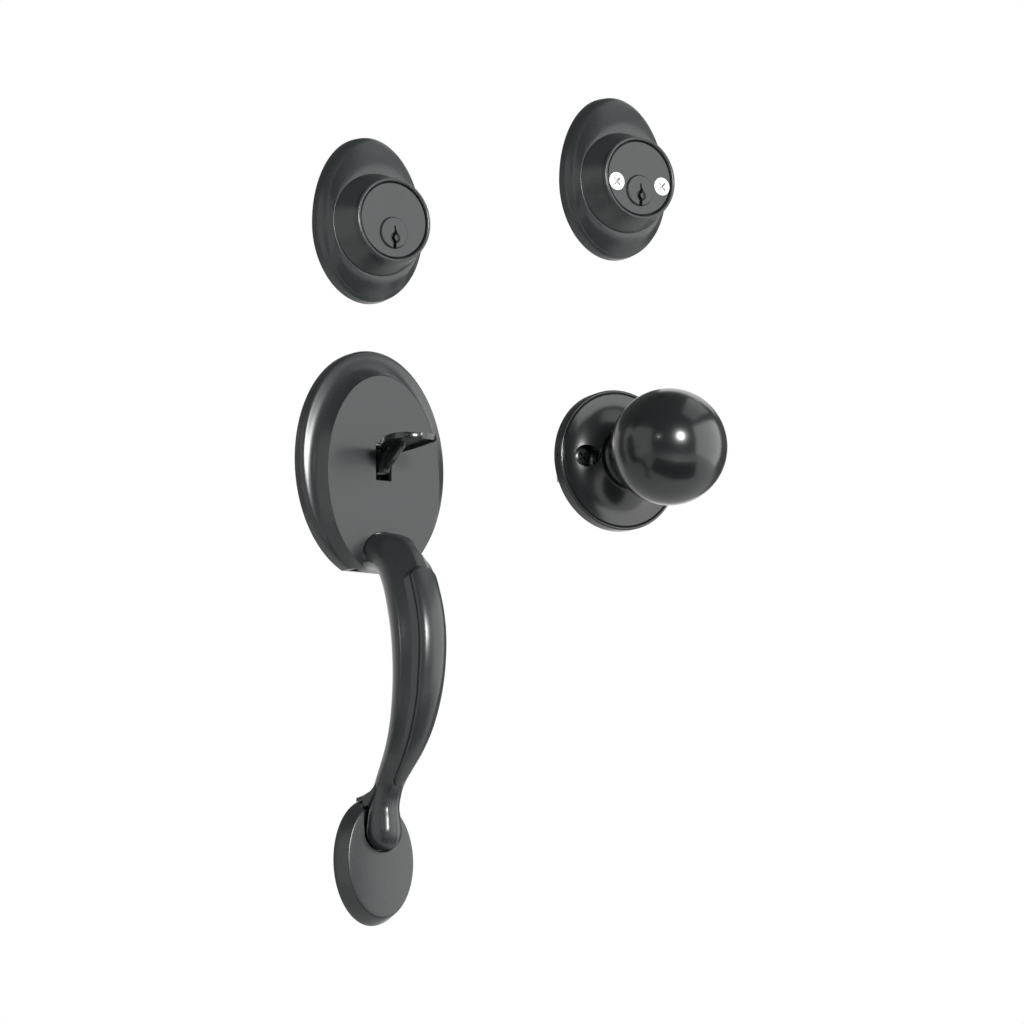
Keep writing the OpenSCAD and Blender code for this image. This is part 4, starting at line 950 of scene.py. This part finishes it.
def thumb_lever(s):
    """Spoon-shaped pad on a web, with the leg, the hub and the lift finger behind it."""
    up, out = PIVOT_UP, PIVOT_OUT
    rows = [0.5 - 0.5 * math.cos(math.pi * i / 36) for i in range(37)]
    pad = soften(loft([pad_ring(s, k) for k in rows]), 0.3 * MM, 60)
    hub_w, hub_x = 4.6 * MM, 1 * MM
    hub_r = s.pivot_d / 2 + 1.8 * MM

    def cheek(points, w, x=0.0):
        places = [(z * MM if isinstance(z, int) else z, up + y * MM) for z, y in points]
        return side_cut(places, w, x)

    web = cheek([(16, 1.5), (20, 2.6), (26, 3.6), (32, 4.3),
                 (30.5 * MM, 1.4), (18, -5.8), (15.2 * MM, -6.4), (12, -5)], 2.8 * MM)
    leg = cheek([(out + MM, 3), (16, 2.1), (19.6 * MM, 2.7), (23, 3.2), (22, 1),
                 (17, -4), (15, -7.6), (12, -8.4), (9.5 * MM, -6.5), (out - 2 * MM, -2.6)], s.leg_w)
    finger = cheek([(out, 2), (out, -2), (-s.finger, -1.4), (-s.finger, 1.4)], hub_w - 0.6 * MM, hub_x)
    hub = across(rod(hub_r, -hub_w / 2 + 0.2 * MM, hub_w / 2), hub_x, up, out)
    room_end = hub_x - hub_w / 2
    room = across(rod(hub_r + 1.2 * MM, -s.leg_w, room_end), 0, up, out)
    hole = across(rod(s.pivot_d / 2 + 0.05 * MM, -20 * MM, 20 * MM), 0, up, out)
    return combine(pad, ("UNION", soften(web, 0.25 * MM)), ("UNION", soften(leg, 0.5 * MM)), ("UNION", hub),
                   ("UNION", soften(finger, 0.2 * MM)), ("DIFFERENCE", room), ("DIFFERENCE", hole))


class HANDLESET_OT_thumb_lever(Operator):
    """Model the thumb lever"""

    bl_idname = "handleset.thumb_lever"
    bl_label = "Thumb lever"

    def execute(self, context):
        shape = thumb_lever(sizes("handleset_lever"))
        place_piece("thumb_piece", shape, GRIP, "gloss_black", "thumb", "thumb_lever", angle=34)
        return {"FINISHED"}


def knob_rose(s):
    """Turned rose: rim, bead, groove and a dished face that climbs to the collar round the neck."""
    r, c, w = s.rose_d / 2, s.collar_d / 2, s.wall

    def dish(k):
        return mix(s.rim_h + 0.1 * MM, s.collar_h - 0.7 * MM, k ** 2.2)

    def dish_r(k):
        return mix(r - 2.1 * MM, c, k)

    profile = [(r - w, 0), (r - 0.15 * MM, 0), (r, 0.15 * MM)]
    profile += arc(r - 0.8 * MM, s.rim_h - 0.8 * MM, 0.8 * MM, 0, 90, 8)
    groove = [(1.05, 0.02), (1.25, 0.25), (1.35, 0.65), (1.5, 0.75), (1.7, 0.6), (1.85, 0.15)]
    profile += [(r - x * MM, s.rim_h - y * MM) for x, y in groove]
    profile += [(dish_r(k / 20), dish(k / 20)) for k in range(21)]
    profile += arc(c - 0.6 * MM, s.collar_h - 0.6 * MM, 0.6 * MM, 20, 90, 6)
    bore = s.shank_d / 2 + 1.2 * MM
    profile += [(bore + 0.3 * MM, s.collar_h), (bore, s.collar_h - 0.3 * MM), (bore, s.collar_h - w)]
    profile += [(dish_r(k / 10) - 0.7 * MM, dish(k / 10) - w) for k in range(10, -1, -1)]
    profile += [(r - w, s.rim_h - w - 0.3 * MM)]
    steps = [("DIFFERENCE", rod(s.hole_d / 2, MM, 20 * MM, x, segments=72))
             for x in (-POST_SPAN / 2, POST_SPAN / 2)]
    release = across(rod(0.7 * MM, 0, 4 * MM, segments=24), -r - MM, 0, 2.9 * MM)
    return combine(turned(profile), *steps, ("DIFFERENCE", release))


def knob_ball(s):
    """Ball and neck in one spun shell."""
    r, n = s.ball_d / 2, s.neck_d / 2
    inner = r - s.ball_wall
    shank = s.shank_d / 2 + 0.05 * MM
    base = s.collar_h + 0.5 * MM
    start = math.degrees(math.asin((n + 0.6 * MM) / r))
    low = math.degrees(math.asin(shank / inner))
    profile = [(shank, base), (n - 0.3 * MM, base)]
    neck = [(0.1, 0.1), (0, 0.5), (0.6, 2.6), (0.75, 4.4), (0.5, 6)]
    profile += spline([(n - x * MM, base + y * MM) for x, y in neck], 4)
    outer_turns = [math.radians(mix(start, 180, i / 72)) for i in range(73)]
    inner_turns = [math.radians(mix(low, 180, i / 36)) for i in range(36, -1, -1)]
    profile += [(max(0.0, r * math.sin(a)), s.ball_out - r * math.cos(a)) for a in outer_turns]
    profile += [(max(0.0, inner * math.sin(a)), s.ball_out - inner * math.cos(a)) for a in inner_turns]
    return turned(profile)


class HANDLESET_OT_knob(Operator):
    """Model the rose and the ball knob"""

    bl_idname = "handleset.knob"
    bl_label = "Ball knob"

    def execute(self, context):
        s = sizes("handleset_knob")
        place_piece("rose_shell", knob_rose(s), KNOB, "satin_black", "root", "knob_rose", angle=34,
                    finish="gloss_black")
        place_piece("ball_shell", knob_ball(s), KNOB, "gloss_black", "knob", "knob_ball", angle=40)
        return {"FINISHED"}


def camera_axes(s):
    """Right, up and back vectors of the camera."""
    a, e, r = s.azimuth, s.elevation, s.roll
    right = Vector((math.cos(a), math.sin(a), 0))
    up = Vector((-math.sin(a) * math.sin(e), math.cos(a) * math.sin(e), math.cos(e)))
    back = Vector((math.sin(a) * math.cos(e), -math.cos(a) * math.cos(e), math.sin(e)))
    turned_right = right * math.cos(r) + up * math.sin(r)
    turned_up = up * math.cos(r) - right * math.sin(r)
    return turned_right, turned_up, back


# Point that the camera looks at and that the lamps stand round
LOOK_AT = Vector((77.7 * MM, 0, -7.9 * MM))
# Strength of the even light that every ray but the camera's meets
AMBIENT = 0.14

# Lamps: name, bearing and elevation in degrees, distance, width, height and power
LAMPS = [
    ("right", 55, 8, 2.6, 3.5, 2.6, 74),
    ("left", -100, 5, 2.6, 3.4, 2.6, 24),
    ("back", 170, 0, 2.6, 4.0, 2.4, 30),
    ("over", 60, 55, 2.6, 2.6, 1.1, 9),
    ("over_back", 130, 38, 2.6, 1.4, 1.1, 6),
    ("main", -9, 12, 2.2, 0.36, 0.36, 52),
    ("fill", -52, 12, 2.2, 0.16, 0.16, 1.2),
]
# Lamps up to this width in metres are round
ROUND_LAMP_UP_TO = 1.0


def add_lamp(name, bearing, elevation, distance, w, h, power):
    light = bpy.data.lights.new(name, "AREA")
    light.shape = "RECTANGLE" if w > ROUND_LAMP_UP_TO else "ELLIPSE"
    light.size, light.size_y = w, h
    light.energy = power
    lamp = bpy.data.objects.new(name, light)
    a, e = math.radians(bearing), math.radians(elevation)
    away = Vector((math.sin(a) * math.cos(e), -math.cos(a) * math.cos(e), math.sin(e)))
    lamp.location = LOOK_AT + away * distance
    lamp.rotation_euler = away.to_track_quat("Z", "Y").to_euler()
    lamp.visible_camera = False
    bpy.context.scene.collection.objects.link(lamp)


def studio_world():
    """White for the camera, and a weak even light from all round."""
    f = Finish("studio", "worlds")
    camera = f.node("ShaderNodeLightPath", {}, {}, "Is Camera Ray")
    passed = f.node("ShaderNodeLightPath", {}, {}, "Is Transmission Ray")
    strength = f.node("ShaderNodeMix", {}, {0: camera.maths("MAXIMUM", camera, passed), 2: AMBIENT, 3: 1.0})
    white = f.node("ShaderNodeBackground", {}, {"Color": (1, 1, 1, 1), "Strength": strength})
    bpy.context.scene.world = f.output("ShaderNodeOutputWorld", white)


def dark_card():
    """Black card below the front, seen in reflections alone."""
    away = Vector((-0.14, -0.57, -0.81)).normalized()
    bm = bmesh.new()
    bmesh.ops.create_grid(bm, x_segments=4, y_segments=4, size=0.5)
    bmesh.ops.scale(bm, vec=(1.3, 0.5, 1), verts=bm.verts)
    bmesh.ops.rotate(bm, matrix=away.to_track_quat("Z", "Y").to_matrix(), verts=bm.verts)
    bmesh.ops.translate(bm, vec=LOOK_AT + away * 0.75, verts=bm.verts)
    card = new_object("dark_card", bm)
    f = Finish("card")
    cloth = f.noise(20, 2)
    card.data.materials.append(f.surface(base_color=f.blend(cloth, (0.02, 0.02, 0.02), (0.03, 0.03, 0.03)),
                                         roughness=0.9))
    card.visible_camera = card.visible_diffuse = card.visible_shadow = False


def studio_floor(s):
    """Large pale floor, well below the hanging set."""
    bm = bmesh.new()
    bmesh.ops.create_grid(bm, x_segments=8, y_segments=8, size=9)
    bmesh.ops.translate(bm, vec=(0, 0, s.floor_z), verts=bm.verts)
    floor = new_object("studio_floor", bm)
    f = Finish("floor")
    paper = f.noise(3, 2)
    floor.data.materials.append(f.surface(base_color=f.blend(paper, (0.84, 0.84, 0.84), (0.88, 0.88, 0.88)),
                                          roughness=0.7))


class HANDLESET_OT_studio(Operator):
    """Set up the floor, the light and the camera"""

    bl_idname = "handleset.studio"
    bl_label = "Studio"

    def execute(self, context):
        s = sizes("handleset_studio")
        scene = context.scene
        scene.view_settings.view_transform = "Standard"
        right, up, back = camera_axes(s)
        data = bpy.data.cameras.new("camera")
        data.lens = s.lens
        data.sensor_width = 36
        data.clip_end = 60
        camera = bpy.data.objects.new("camera", data)
        turn = Matrix((right, up, back)).transposed().to_4x4()
        camera.matrix_world = Matrix.Translation(LOOK_AT + back * s.distance) @ turn
        scene.collection.objects.link(camera)
        scene.camera = camera
        studio_world()
        studio_floor(s)
        dark_card()
        for lamp in LAMPS:
            add_lamp(*lamp)
        return {"FINISHED"}


GROUPS = {
    "handleset_lock": LockSizes,
    "handleset_plate": GripPlateSizes,
    "handleset_grip": GripSizes,
    "handleset_lever": LeverSizes,
    "handleset_foot": FootSizes,
    "handleset_knob": KnobSizes,
    "handleset_finishes": Finishes,
    "handleset_studio": StudioSizes,
}
OPERATORS = [
    HANDLESET_OT_studio, HANDLESET_OT_finishes, HANDLESET_OT_locks, HANDLESET_OT_grip_plate,
    HANDLESET_OT_grip, HANDLESET_OT_foot_plate, HANDLESET_OT_thumb_lever, HANDLESET_OT_knob,
]


class HANDLESET_PT_panel(Panel):
    """Lists the handleset's operators and sizes"""

    bl_idname = "HANDLESET_PT_panel"
    bl_label = "Entry door handleset"
    bl_space_type = "VIEW_3D"
    bl_region_type = "UI"
    bl_category = "Handleset"

    def draw(self, context):
        for operator in OPERATORS:
            self.layout.operator(operator.bl_idname)
        for name, group in GROUPS.items():
            box = self.layout.box()
            box.label(text=group.__doc__)
            for size in group.__annotations__:
                box.prop(getattr(context.scene, name), size)


def register():
    for kind in (*GROUPS.values(), *OPERATORS, HANDLESET_PT_panel):
        bpy.utils.register_class(kind)
    for name, group in GROUPS.items():
        setattr(bpy.types.Scene, name, PointerProperty(type=group))


def unregister():
    for name in GROUPS:
        delattr(bpy.types.Scene, name)
    for kind in (HANDLESET_PT_panel, *reversed(OPERATORS), *GROUPS.values()):
        bpy.utils.unregister_class(kind)


def main():
    register()
    bpy.ops.handleset.studio()
    bpy.ops.handleset.finishes()
    bpy.ops.handleset.locks()
    bpy.ops.handleset.grip_plate()
    bpy.ops.handleset.grip()
    bpy.ops.handleset.foot_plate()
    bpy.ops.handleset.thumb_lever()
    bpy.ops.handleset.knob()


if __name__ == "__main__":
    main()
